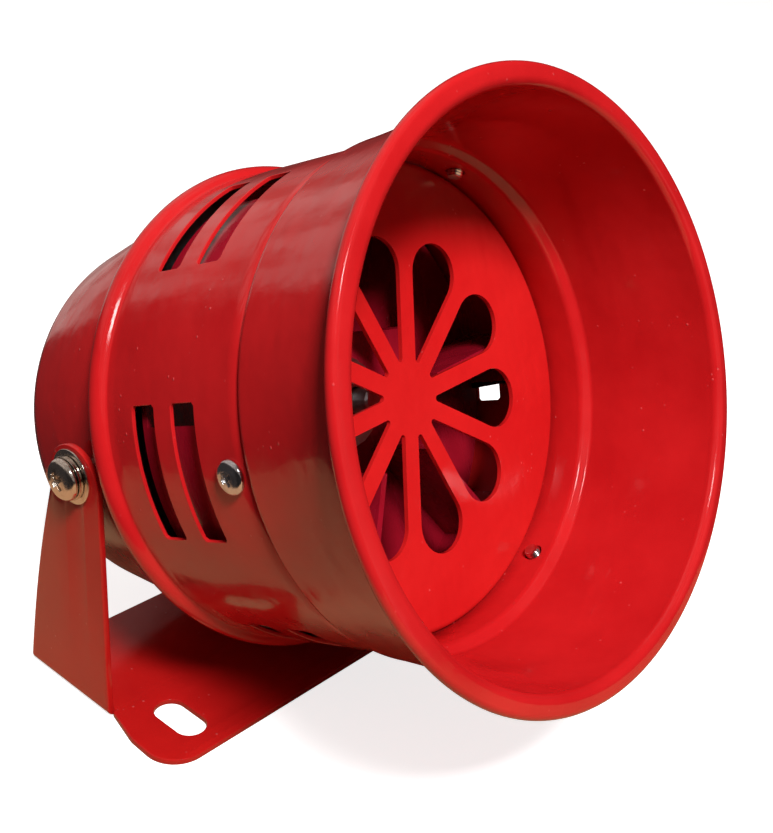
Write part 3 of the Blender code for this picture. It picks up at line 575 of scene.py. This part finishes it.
def wound(name, light, dark, direction):
    """Varnished winding wire lying in rows."""
    material, tree, shader, coords = new_material(name, {"Coat Weight": 0.6, "Coat Roughness": 0.15})
    values = {"wave_type": "BANDS", "bands_direction": direction, "Scale": 620.0, "Distortion": 1.2}
    rows = add_node(tree, "ShaderNodeTexWave", values, Vector=coords).outputs["Fac"]
    tree.links.new(ramp(tree, rows, ((0.15, dark), (0.6, light))), shader.inputs["Base Color"])
    varnish = noise(tree, coords, 300.0, 3.0)
    tree.links.new(span(tree, varnish, 0.3, 0.5), shader.inputs["Roughness"])
    bumps(tree, shader, [(rows, 0.0002), (varnish, 0.00005)])
    return material


def moulded(name, light, dark, roughness, grain_scale=1600.0):
    """Rubber, carbon or phenolic: a faint mottle and a fine grain."""
    material, tree, shader, coords = new_material(name, {})
    mottle = noise(tree, coords, 220.0, 4.0)
    tree.links.new(ramp(tree, mottle, ((0.35, dark), (0.7, light))), shader.inputs["Base Color"])
    tree.links.new(span(tree, mottle, roughness[0], roughness[1]), shader.inputs["Roughness"])
    bumps(tree, shader, [(noise(tree, coords, grain_scale, 2.0), 0.00004)])
    return material


# Housing


def screw_holes():
    """The three holes in the horn's neck for the drum screws, as solid rods."""
    hole = rod(DRUM_SCREW_HOLE, 38.0, 46.0, 24)
    return joined([moved(hole, radial(angle, DRUM_SCREW_DEPTH)) for angle in DRUM_SCREW_ANGLES])


def make_horn():
    """Curled edge, flat lip, bell, soft shoulder and the neck inside the drum."""
    curl = arc((MOUTH_RADIUS - 1.1, MOUTH_Z - 1.3), LIP_CURL, -50.0, 90.0, 10)
    lip_bend = arc((MOUTH_RADIUS - 2.4, MOUTH_Z - 1.6), LIP_BEND, 90.0, 172.0, 8)
    bell = smooth_line([(r, MOUTH_Z - depth) for depth, r in BELL], 8)
    throat = rounded(
        [
            bell[-1],
            (SHOULDER_RADIUS, MOUTH_Z - SHOULDER_DEPTH, 1.3),
            (NECK_RADIUS, MOUTH_Z - STEP_DEPTH, 1.1),
            (NECK_RADIUS, MOUTH_Z - NECK_DEPTH),
        ],
        closed=False,
        steps=8,
    )
    section = sheet_section(curl + lip_bend + bell[1:-1] + throat, HORN_WALL)
    mesh = combined(turned(section), screw_holes(), "DIFFERENCE")
    piece("horn_shell", mesh, "head", RED, ["horn"])


def petal_outline(angle):
    """A teardrop: a round lobe and a small round tip, whose straight sides leave an even web."""
    half_pitch = pi / PETALS
    spread = sin(half_pitch)
    lobe_centre = (PETAL_OUTER + PETAL_WEB / 2) / (1 + spread)
    tip_radius = (PETAL_INNER * spread - PETAL_WEB / 2) / (1 - spread)
    swing = 90.0 + degrees(half_pitch)
    lobe = arc((lobe_centre, 0.0), PETAL_OUTER - lobe_centre, -swing, swing, 32)
    tip = arc((PETAL_INNER + tip_radius, 0.0), tip_radius, swing, 360.0 - swing, 8)
    turn = Matrix.Rotation(radians(angle), 2)
    return [tuple(turn @ Vector(point)) for point in lobe + tip]


def make_guard():
    """The petal disc at the bottom of the horn, its edge turned to the rear."""
    front = MOUTH_Z - GUARD_DEPTH
    line = rounded(
        [
            (0.0, front - GUARD_WALL / 2),
            (GUARD_RADIUS - GUARD_INSET, front - GUARD_WALL / 2, GUARD_BEND),
            (GUARD_RADIUS - GUARD_INSET, front - GUARD_RIM),
        ],
        closed=False,
        steps=8,
    )
    section = sheet_section(line, GUARD_WALL)
    outer = [(max(r, 0.0), z) for r, z in section[:-3]]
    turns = [PETAL_TURN + i * 360.0 / PETALS for i in range(PETALS)]
    petals = [plate([petal_outline(turn)], 6.0, 0.0, front) for turn in turns]
    mesh = combined(turned(outer), joined(petals), "DIFFERENCE")
    # Its enamel is the horn's red painted lighter, as painted light.
    guard = piece("petal_guard", mesh, "head", LIT_GUARD_RED, ["intake_guard"])
    soften(guard, 0.22)


def spaced(stops, steps):
    """Positions between neighbouring stops, no further apart than the step."""
    result = [stops[0]]
    for low, high in zip(stops, stops[1:]):
        count = max(1, round((high - low) / steps))
        result += [low + (high - low) * i / count for i in range(1, count + 1)]
    return result


def make_drum():
    """The slotted drum with its rolled bead, as a grid with the slots left out and wall added."""
    middle = DRUM_RADIUS - DRUM_WALL / 2
    bead_z = MOUTH_Z - BEAD_DEPTH
    bead = arc((middle, bead_z), BEAD_RADIUS, 70.0, -75.0, 14)
    foot = [(middle, bead_z + BEAD_RADIUS + 0.55), (middle + 0.1, bead_z + BEAD_RADIUS + 0.2)]
    corner = degrees(SLOT_CORNER / middle)
    slot_edges = []
    for depth in SLOT_DEPTHS:
        z = MOUTH_Z - depth
        slot_edges += [z + SLOT_LENGTH / 2, z - SLOT_LENGTH / 2]
    front = MOUTH_Z - SEAM_DEPTH - DRUM_GAP
    rolled = [(middle - inset, front - depth) for inset, depth in DRUM_ROLL]
    stops = [front - DRUM_ROLL_DEPTH]
    for k, z in enumerate(slot_edges):
        inward = -SLOT_CORNER if k % 2 == 0 else SLOT_CORNER
        stops += sorted((z, z + inward), reverse=True)
    stops.append(foot[0][1])
    straight = [-z for z in spaced([-z for z in stops], GRID_STEP)]
    line = rolled + [(middle, z) for z in straight] + foot[1:] + bead
    pitch = 360.0 / SLOT_GROUPS
    half = SLOT_HALF_ANGLE
    one = spaced([-half, -half + corner, half - corner, half, pitch - half], GRID_TURN)[:-1]
    angles = [g * pitch + a for g in range(SLOT_GROUPS) for a in one]
    vertices = [(*polar(r, a), z) for r, z in line for a in angles]
    faces = []
    for row in range(len(line) - 1):
        for column in range(len(angles)):
            faces += drum_cell(line, angles, row, column, pitch, corner)
    mesh = mesh_from(vertices, faces)
    if sum(face.normal.xy.dot(face.center.xy) for face in mesh.polygons) < 0:
        mesh.flip_normals()
    drum = piece("drum_shell", mesh, "head", RED, ["slotted_drum"], sharp=50.0)
    wall = drum.modifiers.new("Wall", "SOLIDIFY")
    wall.thickness = DRUM_WALL * MM
    wall.offset = 0.0
    wall.use_even_offset = True
    soften(drum, 0.16, 2, 55.0)


def drum_cell(line, angles, row, column, pitch, corner):
    """The faces of one grid cell: none inside a slot, a triangle at a slot's rounded corner."""
    count = len(angles)
    k = (column + 1) % count
    here = row * count
    below = here + count
    corners = [here + column, here + k, below + k, below + column]
    z = (line[row][1] + line[row + 1][1]) / 2
    next_angle = angles[k] if k else angles[0] + 360.0
    from_centre = ((angles[column] + next_angle) / 2 + pitch / 2) % pitch - pitch / 2
    for depth in SLOT_DEPTHS:
        from_middle = z - (MOUTH_Z - depth)
        if abs(from_middle) > SLOT_LENGTH / 2 or abs(from_centre) > SLOT_HALF_ANGLE:
            continue
        near_end = abs(from_middle) > SLOT_LENGTH / 2 - SLOT_CORNER
        near_side = abs(from_centre) > SLOT_HALF_ANGLE - corner
        if not (near_end and near_side):
            return []
        left = from_centre < 0
        if from_middle > 0:
            spare = 2 if left else 3
        else:
            spare = 1 if left else 0
        return [tuple(c for i, c in enumerate(corners) if i != spare)]
    return [tuple(corners)]


def make_cover():
    """The deep drawn rear cover with its pivot holes and the cable's outlet."""
    side = COVER_RADIUS - COVER_WALL / 2
    back = MOUTH_Z - COVER_BACK_DEPTH
    bead_z = MOUTH_Z - BEAD_DEPTH
    shoulder_z = MOUTH_Z - COVER_SHOULDER_DEPTH
    start_z = bead_z - 0.9
    end_r = side - COVER_DRAFT * (start_z - shoulder_z)
    draft = degrees(atan2(COVER_DRAFT, 1.0))
    radius = COVER_SHOULDER - COVER_WALL / 2
    centre = (end_r - radius * cos(radians(draft)), shoulder_z + radius * sin(radians(draft)))
    shoulder = arc(centre, radius, -draft, -90.0, 28)
    line = [(COVER_FRONT_RADIUS, bead_z), (side + 0.1, bead_z), (side, start_z), *shoulder, (0.0, back)]
    section = sheet_section(line, COVER_WALL)
    count = len(line)
    outline = [(max(r, 0.0), z) for r, z in section[:count] + section[count + 3 :]]
    outline[count - 1] = (0.0, outline[count - 1][1])
    outline[count] = (0.0, outline[count][1])
    mesh = turned(outline)
    hole = rod(PIVOT_HOLE, 34.0, 46.0, 32)
    tools = [moved(hole, radial(angle, MOUTH_Z)) for angle in (0.0, 180.0)]
    outlet = rod(OUTLET_RADIUS, back - 3.0, back + 3.0, SMALL_TURN)
    tools.append(moved(outlet, Matrix.Translation((0.0, GROMMET_Y * MM, 0.0))))
    mesh = combined(mesh, joined(tools), "DIFFERENCE")
    piece("cover_shell", mesh, "head", RED, ["rear_cover"])


def make_grommet():
    """The rubber bush that the supply cable would pass through."""
    back = MOUTH_Z - COVER_BACK_DEPTH
    outline = [
        (5.0, back + 1.55, 0.4),
        (5.0, back + 0.6, 0.2),
        (3.6, back + 0.6, 0.1),
        (3.6, back - 0.6, 0.1),
        (5.0, back - 0.6, 0.25),
        (4.6, back - 1.9, 0.5),
        (2.2, back - 1.9, 0.3),
        (2.2, back + 1.55, 0.3),
    ]
    mesh = turned(rounded(outline, steps=4), SMALL_TURN)
    place = HEAD @ Matrix.Translation((0.0, GROMMET_Y * MM, 0.0))
    piece("outlet_grommet", mesh, "head", RUBBER, ["cable_grommet"], place)


# Fasteners


def pan_screw(thread, head_size, reach):
    """A cross-recess pan head on a threaded shank: the head's underside at 0, the tip at -reach."""
    head, height = head_size
    crown = smooth_line(
        [
            (0.0, height),
            (head * 0.24, height * 0.97),
            (head * 0.39, height * 0.82),
            (head * 0.47, height * 0.54),
            (head * 0.5, height * 0.22),
        ],
        5,
    )
    rim = [(head * 0.5, height * 0.1), (head * 0.485, 0.0)]
    shank = [(thread / 2, 0.0)]
    pitch = 0.7 if thread > 3.5 else 0.5
    z = -0.4
    while z > -reach + pitch:
        shank += [(thread / 2, z), (thread / 2 - pitch * 0.45, z - pitch / 2)]
        z -= pitch
    tip = [(thread / 2 - pitch * 0.5, -reach + 0.1), (thread / 2 - 0.6, -reach), (0.0, -reach)]
    body = turned(crown + rim + shank + tip, SMALL_TURN)
    wing = (head * 0.62, head * 0.17, height * 1.6)
    turns = [Matrix.Rotation(radians(a), 4, "Z") for a in (20.0, 110.0)]
    wings = [block(wing, (0.0, 0.0, height * 1.05), turn, 0.45) for turn in turns]
    return combined(body, combined(*wings, "UNION"), "DIFFERENCE")


def make_drum_screws():
    """Three pan heads round the drum's front edge, their tips inside the horn's neck."""
    base = DRUM_RADIUS + GAP
    mesh = pan_screw(DRUM_THREAD, DRUM_HEAD, base - DRUM_SCREW_TIP)
    mesh.transform(Matrix.Translation((0.0, 0.0, base * MM)))
    for number, angle in enumerate(DRUM_SCREW_ANGLES, 1):
        place = HEAD @ radial(angle, DRUM_SCREW_DEPTH)
        name = f"drum_screw_{number}"
        screw = piece(f"panhead_{number}", mesh.copy(), "head", NICKEL, [name], place)
        soften(screw, 0.07, 2)


def split_washer(diameter, inner, thickness):
    """A spring washer: a square wire coiled once, its two ends standing apart."""
    steps = 60
    vertices = []
    for i in range(steps + 1):
        angle = 9.0 + 342.0 * i / steps
        lift = 0.16 * (i / steps - 0.5)
        for r, z in ((diameter / 2, 0.5), (diameter / 2, -0.5), (inner / 2, -0.5), (inner / 2, 0.5)):
            vertices.append((*polar(r, angle), z * thickness * 0.86 + lift))
    faces = [(3, 2, 1, 0), tuple(4 * steps + k for k in range(4))]
    for i in range(steps):
        for k in range(4):
            n = (k + 1) % 4
            faces.append((4 * i + k, 4 * i + n, 4 * i + 4 + n, 4 * i + 4 + k))
    return mesh_from(vertices, faces)


def make_pivot_hardware():
    """On each side the pan-head screw with its spring washer and flat washer, and a nut inside."""
    flat_radius, flat_thick = FLAT_WASHER
    spring_size, spring_thick = SPRING_WASHER
    flat_at = ARM_OUTER_X + GAP + flat_thick / 2
    spring_at = flat_at + flat_thick / 2 + GAP + spring_thick / 2
    head_at = spring_at + spring_thick / 2 + GAP
    screw = pan_screw(PIVOT_THREAD, PIVOT_HEAD, head_at - PIVOT_SCREW_TIP)
    spring = split_washer(spring_size, 2 * WASHER_BORE, spring_thick)
    ring = [
        (flat_radius, flat_thick / 2, 0.12),
        (flat_radius, -flat_thick / 2, 0.12),
        (WASHER_BORE, -flat_thick / 2, 0.08),
        (WASHER_BORE, flat_thick / 2, 0.08),
    ]
    flat = turned(rounded(ring, steps=3), SMALL_TURN)
    hexagon = plate([circle(NUT_ACROSS / sqrt(3), 6)], NUT_THICKNESS)
    nut = combined(hexagon, rod(WASHER_BORE, -NUT_THICKNESS, NUT_THICKNESS), "DIFFERENCE")
    shapes = (
        ("pivot_panhead", "pivot_screw", screw, head_at, 0.08),
        ("split_washer", "spring_washer", spring, spring_at, 0.08),
        ("plain_washer", "flat_washer", flat, flat_at, 0.0),
        ("hex_nut", "pivot_nut", nut, PIVOT_NUT_X, 0.2),
    )
    for side, sign in SIDES:
        turn = radial(0.0 if sign > 0 else 180.0, MOUTH_Z)
        for name, node, mesh, at, edge in shapes:
            place = HEAD @ turn @ Matrix.Translation((0.0, 0.0, at * MM))
            replaced = [f"{node}_{side}"]
            obj = piece(f"{name}_{side}", mesh.copy(), "head", PIVOT_PLATE, replaced, place)
            if edge:
                soften(obj, edge, 2)


# Bracket


def arm_edge():
    """The arm's outline as (y, height): up its front, round the pivot and down its bowed rear."""
    foot = Vector((ARM_REAR_Y, BEND_RADIUS))
    pivot_z = PIVOT.z / MM
    slope = degrees(atan2(ARM_REAR_Y - ARM_RADIUS, pivot_z))
    top = arc((0.0, pivot_z + ARM_TOP - ARM_RADIUS), ARM_RADIUS, 180.0, -slope * 1.3, 30)
    leave = Vector(top[-1])
    rear = []
    for i in range(1, 16):
        t = i / 16
        point = leave.lerp(foot, t)
        rear.append((point.x + ARM_BOW * sin(pi * t), point.y))
    return [(ARM_FRONT_Y, BEND_RADIUS), *top, *rear, tuple(foot)]


def flat_pattern():
    """The bracket cut out flat, before its arms are bent up: outline, base slots and pivot holes."""
    waist = ARM_OUTER_X - BEND_RADIUS
    neutral = (BEND_RADIUS - SHEET / 2) * pi / 2
    relief = ARM_FRONT_Y - 0.25
    right = rounded(
        [
            (0.0, PLATE_FRONT_Y),
            (PLATE_HALF_WIDTH, PLATE_FRONT_Y, PLATE_CORNER),
            (ARM_OUTER_X + 1.3, relief - 8.0, 9.0),
            (waist + 0.9, relief, 0.3),
            (waist, relief),
        ],
        closed=False,
        steps=12,
    )[1:]
    arm = [(waist + neutral + height - BEND_RADIUS, y) for y, height in arm_edge()]
    right += [(waist, ARM_FRONT_Y), *arm, (waist + neutral, ARM_REAR_Y), (waist, ARM_REAR_Y)]
    outline = right + [(-x, y) for x, y in right[::-1]]
    half = (BASE_SLOT_LENGTH - BASE_SLOT_WIDTH) / 2
    end_radius = BASE_SLOT_WIDTH / 2
    pivot_x = waist + neutral + PIVOT.z / MM - BEND_RADIUS
    holes = []
    for _, sign in SIDES:
        x = sign * BASE_SLOT_X
        rear_end = arc((x, BASE_SLOT_Y + half), end_radius, 0.0, 180.0, 16)
        front_end = arc((x, BASE_SLOT_Y - half), end_radius, 180.0, 360.0, 16)
        holes.append(rear_end + front_end)
        holes.append(circle(PIVOT_HOLE, 32, (sign * pivot_x, 0.0)))
    return [outline, *holes]


def bent_up(point):
    """Where a point of the flat sheet goes once the arm beyond the bend line stands upright."""
    x, y, w = point
    waist = ARM_OUTER_X - BEND_RADIUS
    middle = BEND_RADIUS - SHEET / 2
    beyond = abs(x) - waist
    if beyond <= 0.0 or y < ARM_FRONT_Y - 0.12:
        return Vector((x, y, w + SHEET / 2))
    side = 1 if x > 0 else -1
    angle = min(beyond / middle, pi / 2)
    rest = max(beyond - middle * pi / 2, 0.0)
    out = waist + (middle - w) * sin(angle)
    height = BEND_RADIUS - (middle - w) * cos(angle) + rest
    return Vector((side * out, y, height))


def make_bracket():
    """The U bracket, cut flat with rounded edges and slots, then bent."""
    mesh = plate(flat_pattern(), SHEET, 0.22)
    work = bmesh.new()
    work.from_mesh(mesh)
    waist = ARM_OUTER_X - BEND_RADIUS
    length = (BEND_RADIUS - SHEET / 2) * pi / 2
    for _, sign in SIDES:
        for i in range(13):
            cut = {"plane_co": (sign * (waist + length * i / 12) * MM, 0.0, 0.0), "plane_no": (1.0, 0.0, 0.0)}
            geometry = work.verts[:] + work.edges[:] + work.faces[:]
            bmesh.ops.bisect_plane(work, geom=geometry, dist=0.0000001, **cut)
    for vertex in work.verts:
        vertex.co = bent_up(vertex.co / MM) * MM
    work.to_mesh(mesh)
    work.free()
    tidy_normals(mesh)
    # Its enamel is the horn's red painted darker, as painted shade.
    piece("bent_bracket", mesh, "bracket", SHADED_BRACKET_RED, ["mounting_bracket"], WORLD)


# Siren wheel


def make_siren_wheel():
    """A disc with six radial vanes, each carrying a shutter along the rim."""
    back = MOUTH_Z - WHEEL_BACK
    front = MOUTH_Z - WHEEL_FRONT
    height = front - back
    floor = back + WHEEL_WALL
    disc_outline = [(WHEEL_RADIUS, back), (WHEEL_RADIUS, floor), (HUB_HOLE, floor), (HUB_HOLE, back)]
    inner = WHEEL_RADIUS - WHEEL_WALL
    rim_back = back + 0.4
    rim_outline = [(WHEEL_RADIUS, rim_back), (WHEEL_RADIUS, front), (inner, front), (inner, rim_back)]
    disc = turned(disc_outline)
    rim = turned(rim_outline)
    port = (PORT_REACH, 2 * WHEEL_RADIUS * sin(radians(SLOT_HALF_ANGLE + 1.0)), height)
    reach = WHEEL_RADIUS - WHEEL_WALL / 2 - VANE_INNER
    vane = (reach, WHEEL_WALL, height - 1.0)
    ports = []
    vanes = []
    for i in range(WHEEL_VANES):
        turn = WHEEL_TURN + 360.0 * i / WHEEL_VANES
        at_slot = Matrix.Rotation(radians(turn), 4, "Z")
        between = Matrix.Rotation(radians(turn + 180.0 / WHEEL_VANES), 4, "Z")
        ports.append(block(port, (WHEEL_RADIUS, 0.0, back + WHEEL_WALL + height / 2), at_slot))
        vanes.append(block(vane, (VANE_INNER + reach / 2, 0.0, back + height / 2), between))
    shutters = combined(rim, joined(ports), "DIFFERENCE")
    mesh = combined(combined(shutters, disc, "UNION"), joined(vanes), "UNION")
    wheel = piece("vaned_wheel", mesh, "rotor", WHEEL_RED, ["siren_wheel"])
    soften(wheel, 0.15, 2)


def finish_cad_nodes():
    """Procedural finishes for the inner pieces that keep their CAD shape."""
    finishes = {
        "motor_plate": ZINC,
        "motor_end_plate": ZINC,
        "wheel_washer": ZINC,
        "wheel_nut": ZINC,
        "motor_shaft": BARE_STEEL,
        "armature_core": LAMINATIONS,
        "field_stack": LAMINATIONS,
        "armature_winding_front": WINDING_ACROSS,
        "armature_winding_rear": WINDING_ACROSS,
        "field_coil_left": WINDING_ALONG,
        "field_coil_right": WINDING_ALONG,
        "front_bearing": BRONZE,
        "rear_bearing": BRONZE,
        "wheel_hub": BRASS,
        "commutator": COPPER,
    }
    for side, _ in SIDES:
        finishes[f"brush_{side}"] = CARBON
        finishes[f"brush_holder_{side}"] = BAKELITE
        finishes[f"brush_spring_{side}"] = BARE_STEEL
    for level in ("upper", "lower"):
        for name in ("motor_bolt", "motor_nut", "front_spacer", "rear_spacer"):
            finishes[f"{name}_{level}"] = ZINC
    for node, material in finishes.items():
        mesh = frame["nodes"][node].data
        mesh.materials.clear()
        mesh.materials.append(material)
        mesh.shade_smooth()
        mesh.set_sharp_from_angle(angle=radians(30.0))


# Studio


def make_camera():
    """The photograph's viewpoint."""
    data = bpy.data.cameras.new("camera")
    data.lens = CAMERA_LENS
    data.sensor_width = CAMERA_SENSOR
    camera = bpy.data.objects.new("camera", data)
    bpy.context.scene.collection.objects.link(camera)
    view = Vector(CAMERA_AIM) - Vector(CAMERA_AT)
    turn = view.to_track_quat("-Z", "Y").to_matrix().to_4x4()
    roll = Matrix.Rotation(radians(CAMERA_ROLL), 4, "Z")
    camera.matrix_world = Matrix.Translation(CAMERA_AT) @ turn @ roll
    bpy.context.scene.camera = camera


def make_light(name, at, aim, side, power):
    """A square white area light."""
    data = bpy.data.lights.new(name, "AREA")
    data.shape = "SQUARE"
    data.size = side
    data.energy = power
    light = bpy.data.objects.new(name, data)
    bpy.context.scene.collection.objects.link(light)
    turn = (Vector(aim) - Vector(at)).to_track_quat("-Z", "Y").to_matrix().to_4x4()
    light.matrix_world = Matrix.Translation(at) @ turn
    return light


def cloud(tree, coords, scale, detail):
    """A soft noise over the surroundings."""
    values = {"Scale": scale, "Detail": detail}
    return add_node(tree, "ShaderNodeTexNoise", values, Vector=coords).outputs["Fac"]


def wall_colour(tree, coords):
    """A pale, cloudy wall above an uneven sloping edge, and darkness below it."""
    above = add_node(tree, "ShaderNodeVectorMath", {"operation": "DOT_PRODUCT"})
    tree.links.new(coords, above.inputs[0])
    above.inputs[1].default_value = WALL_EDGE
    pale = ramp(tree, cloud(tree, coords, 9.0, 5.0), ((0.42, SHADE_LIGHT), (0.56, WALL_LIGHT)))
    edge = span(tree, cloud(tree, coords, 4.0, 4.0), -0.10, 0.10)
    height = math_node(tree, "SUBTRACT", above.outputs["Value"], edge)
    colour = add_node(tree, "ShaderNodeMix", {"data_type": "RGBA"})
    tree.links.new(span(tree, height, 0.0, 1.0, -0.02, 0.02), colour.inputs[0])
    colour.inputs[6].default_value = (*DARK_LIGHT, 1.0)
    tree.links.new(pale, colour.inputs[7])
    return colour.outputs[2]


def make_world():
    """A soft studio that the enamel mirrors, brightest behind on the left, with a plain pale backdrop."""
    world = bpy.data.worlds.new("studio")
    bpy.context.scene.world = world
    world.use_nodes = True
    tree = world.node_tree
    coords = add_node(tree, "ShaderNodeTexCoord").outputs["Generated"]
    axes = add_node(tree, "ShaderNodeSeparateXYZ", Vector=coords).outputs
    behind = span(tree, axes["Y"], FRONT_SHARE, 1.0, -0.2, 0.2)
    left = span(tree, axes["X"], 1.0, SIDE_SHARE, 0.40, 0.62)
    surroundings = tree.nodes["Background"]
    tree.links.new(wall_colour(tree, coords), surroundings.inputs["Color"])
    tree.links.new(math_node(tree, "MULTIPLY", behind, left), surroundings.inputs["Strength"])
    backdrop = add_node(tree, "ShaderNodeBackground", {"Color": BACKDROP})
    shown = add_node(tree, "ShaderNodeMixShader")
    tree.links.new(add_node(tree, "ShaderNodeLightPath").outputs["Is Camera Ray"], shown.inputs[0])
    tree.links.new(surroundings.outputs[0], shown.inputs[1])
    tree.links.new(backdrop.outputs[0], shown.inputs[2])
    tree.links.new(shown.outputs[0], tree.nodes["World Output"].inputs["Surface"])


def stage_plane(name, corners, height, material):
    """A flat sheet under the siren, which casts no shadow itself."""
    mesh = bpy.data.meshes.new(name)
    (x0, y0), (x1, y1) = corners
    vertices = [(x, y, height) for x, y in ((x0, y0), (x1, y0), (x1, y1), (x0, y1))]
    mesh.from_pydata(vertices, [], [(0, 1, 2, 3)])
    mesh.materials.append(material)
    plane = bpy.data.objects.new(name, mesh)
    bpy.context.scene.collection.objects.link(plane)
    plane.visible_shadow = False
    return plane


def make_board():
    """A warm board that only the enamel and plating mirror: it puts the brown tone low on the siren."""
    material, tree, shader, coords = new_material("warm_board", {"Roughness": 0.7})
    grain = noise(tree, coords, 12.0, 3.0)
    tone = ramp(tree, grain, ((0.3, (0.40, 0.22, 0.115)), (0.7, (0.48, 0.27, 0.145))))
    tree.links.new(tone, shader.inputs["Base Color"])
    board = stage_plane("warm_board", BOARD, -0.0004, material)
    board.visible_camera = False


def make_floor():
    """A plain pale floor, left out of the siren's reflections."""
    constants = {
        "Roughness": 0.9,
        "Specular IOR Level": 0.0,
        "Emission Color": (1.0, 1.0, 1.0, 1.0),
        "Emission Strength": 0.78,
    }
    material, tree, shader, coords = new_material("pale_floor", constants)
    clouds = noise(tree, coords, 3.0)
    tone = ramp(tree, clouds, ((0.3, (0.78, 0.78, 0.78)), (0.7, (0.82, 0.82, 0.82))))
    tree.links.new(tone, shader.inputs["Base Color"])
    floor = stage_plane("floor", FLOOR, 0.0, material)
    floor.visible_diffuse = False
    floor.visible_glossy = False


def make_studio():
    """The surroundings, the key light for form, and a weak small one that only draws the glints."""
    make_world()
    make_floor()
    make_board()
    key = make_light("key", *KEY)
    key.visible_glossy = False
    make_light("glint", *GLINT)
    settings = bpy.context.scene.view_settings
    settings.view_transform = "Standard"
    settings.look = "None"


make_camera()
make_studio()

RED = enamel("red_enamel", (0.48, 0.008, 0.010), (0.56, 0.012, 0.014))
# The guard's copy of the red enamel is painted lighter than the horn's: painted light on the face that
# catches the lamp.
LIT_GUARD_RED = enamel("guard_enamel_painted_lighter", (0.55, 0.009, 0.010), (0.61, 0.013, 0.013), waves=0.0004)
# The bracket's copy of the red enamel is painted darker than the horn's: painted shade low under the head.
SHADED_BRACKET_RED = enamel("bracket_enamel_painted_darker", (0.40, 0.007, 0.007), (0.46, 0.009, 0.008), waves=0.00005)
WHEEL_RED = enamel("wheel_paint", (0.24, 0.004, 0.012), (0.34, 0.006, 0.020), (0.2, 0.36))
NICKEL = plated("nickel_plate", (0.78, 0.79, 0.82), (0.52, 0.50, 0.50), (0.10, 0.22))
PIVOT_PLATE = plated("tarnished_nickel", (0.80, 0.74, 0.66), (0.40, 0.28, 0.18), (0.10, 0.26), (0.5, 0.75))
ZINC = plated("zinc_plate", (0.46, 0.47, 0.47), (0.32, 0.32, 0.32), (0.32, 0.48))
BARE_STEEL = plated("bare_steel", (0.46, 0.46, 0.47), (0.30, 0.28, 0.27), (0.28, 0.42))
BRONZE = plated("sintered_bronze", (0.52, 0.33, 0.16), (0.34, 0.20, 0.10), (0.45, 0.60))
BRASS = plated("turned_brass", (0.76, 0.57, 0.25), (0.52, 0.36, 0.15), (0.28, 0.42))
COPPER = plated("turned_copper", (0.80, 0.42, 0.26), (0.40, 0.20, 0.13), (0.25, 0.40))
LAMINATIONS = laminated("laminated_steel", (0.44, 0.43, 0.42), (0.16, 0.14, 0.13), 0.7)
WINDING_ALONG = wound("coil_winding", (0.50, 0.18, 0.07), (0.16, 0.05, 0.02), "X")
WINDING_ACROSS = wound("armature_winding", (0.50, 0.18, 0.07), (0.16, 0.05, 0.02), "Z")
CARBON = moulded("carbon", (0.050, 0.050, 0.052), (0.020, 0.020, 0.022), (0.45, 0.65))
BAKELITE = moulded("bakelite", (0.075, 0.040, 0.026), (0.035, 0.018, 0.012), (0.30, 0.45))
RUBBER = moulded("rubber", (0.035, 0.035, 0.036), (0.016, 0.016, 0.017), (0.60, 0.80))

make_bracket()
make_horn()
make_guard()
make_drum()
make_cover()
make_grommet()
make_drum_screws()
make_pivot_hardware()
make_siren_wheel()
finish_cad_nodes()
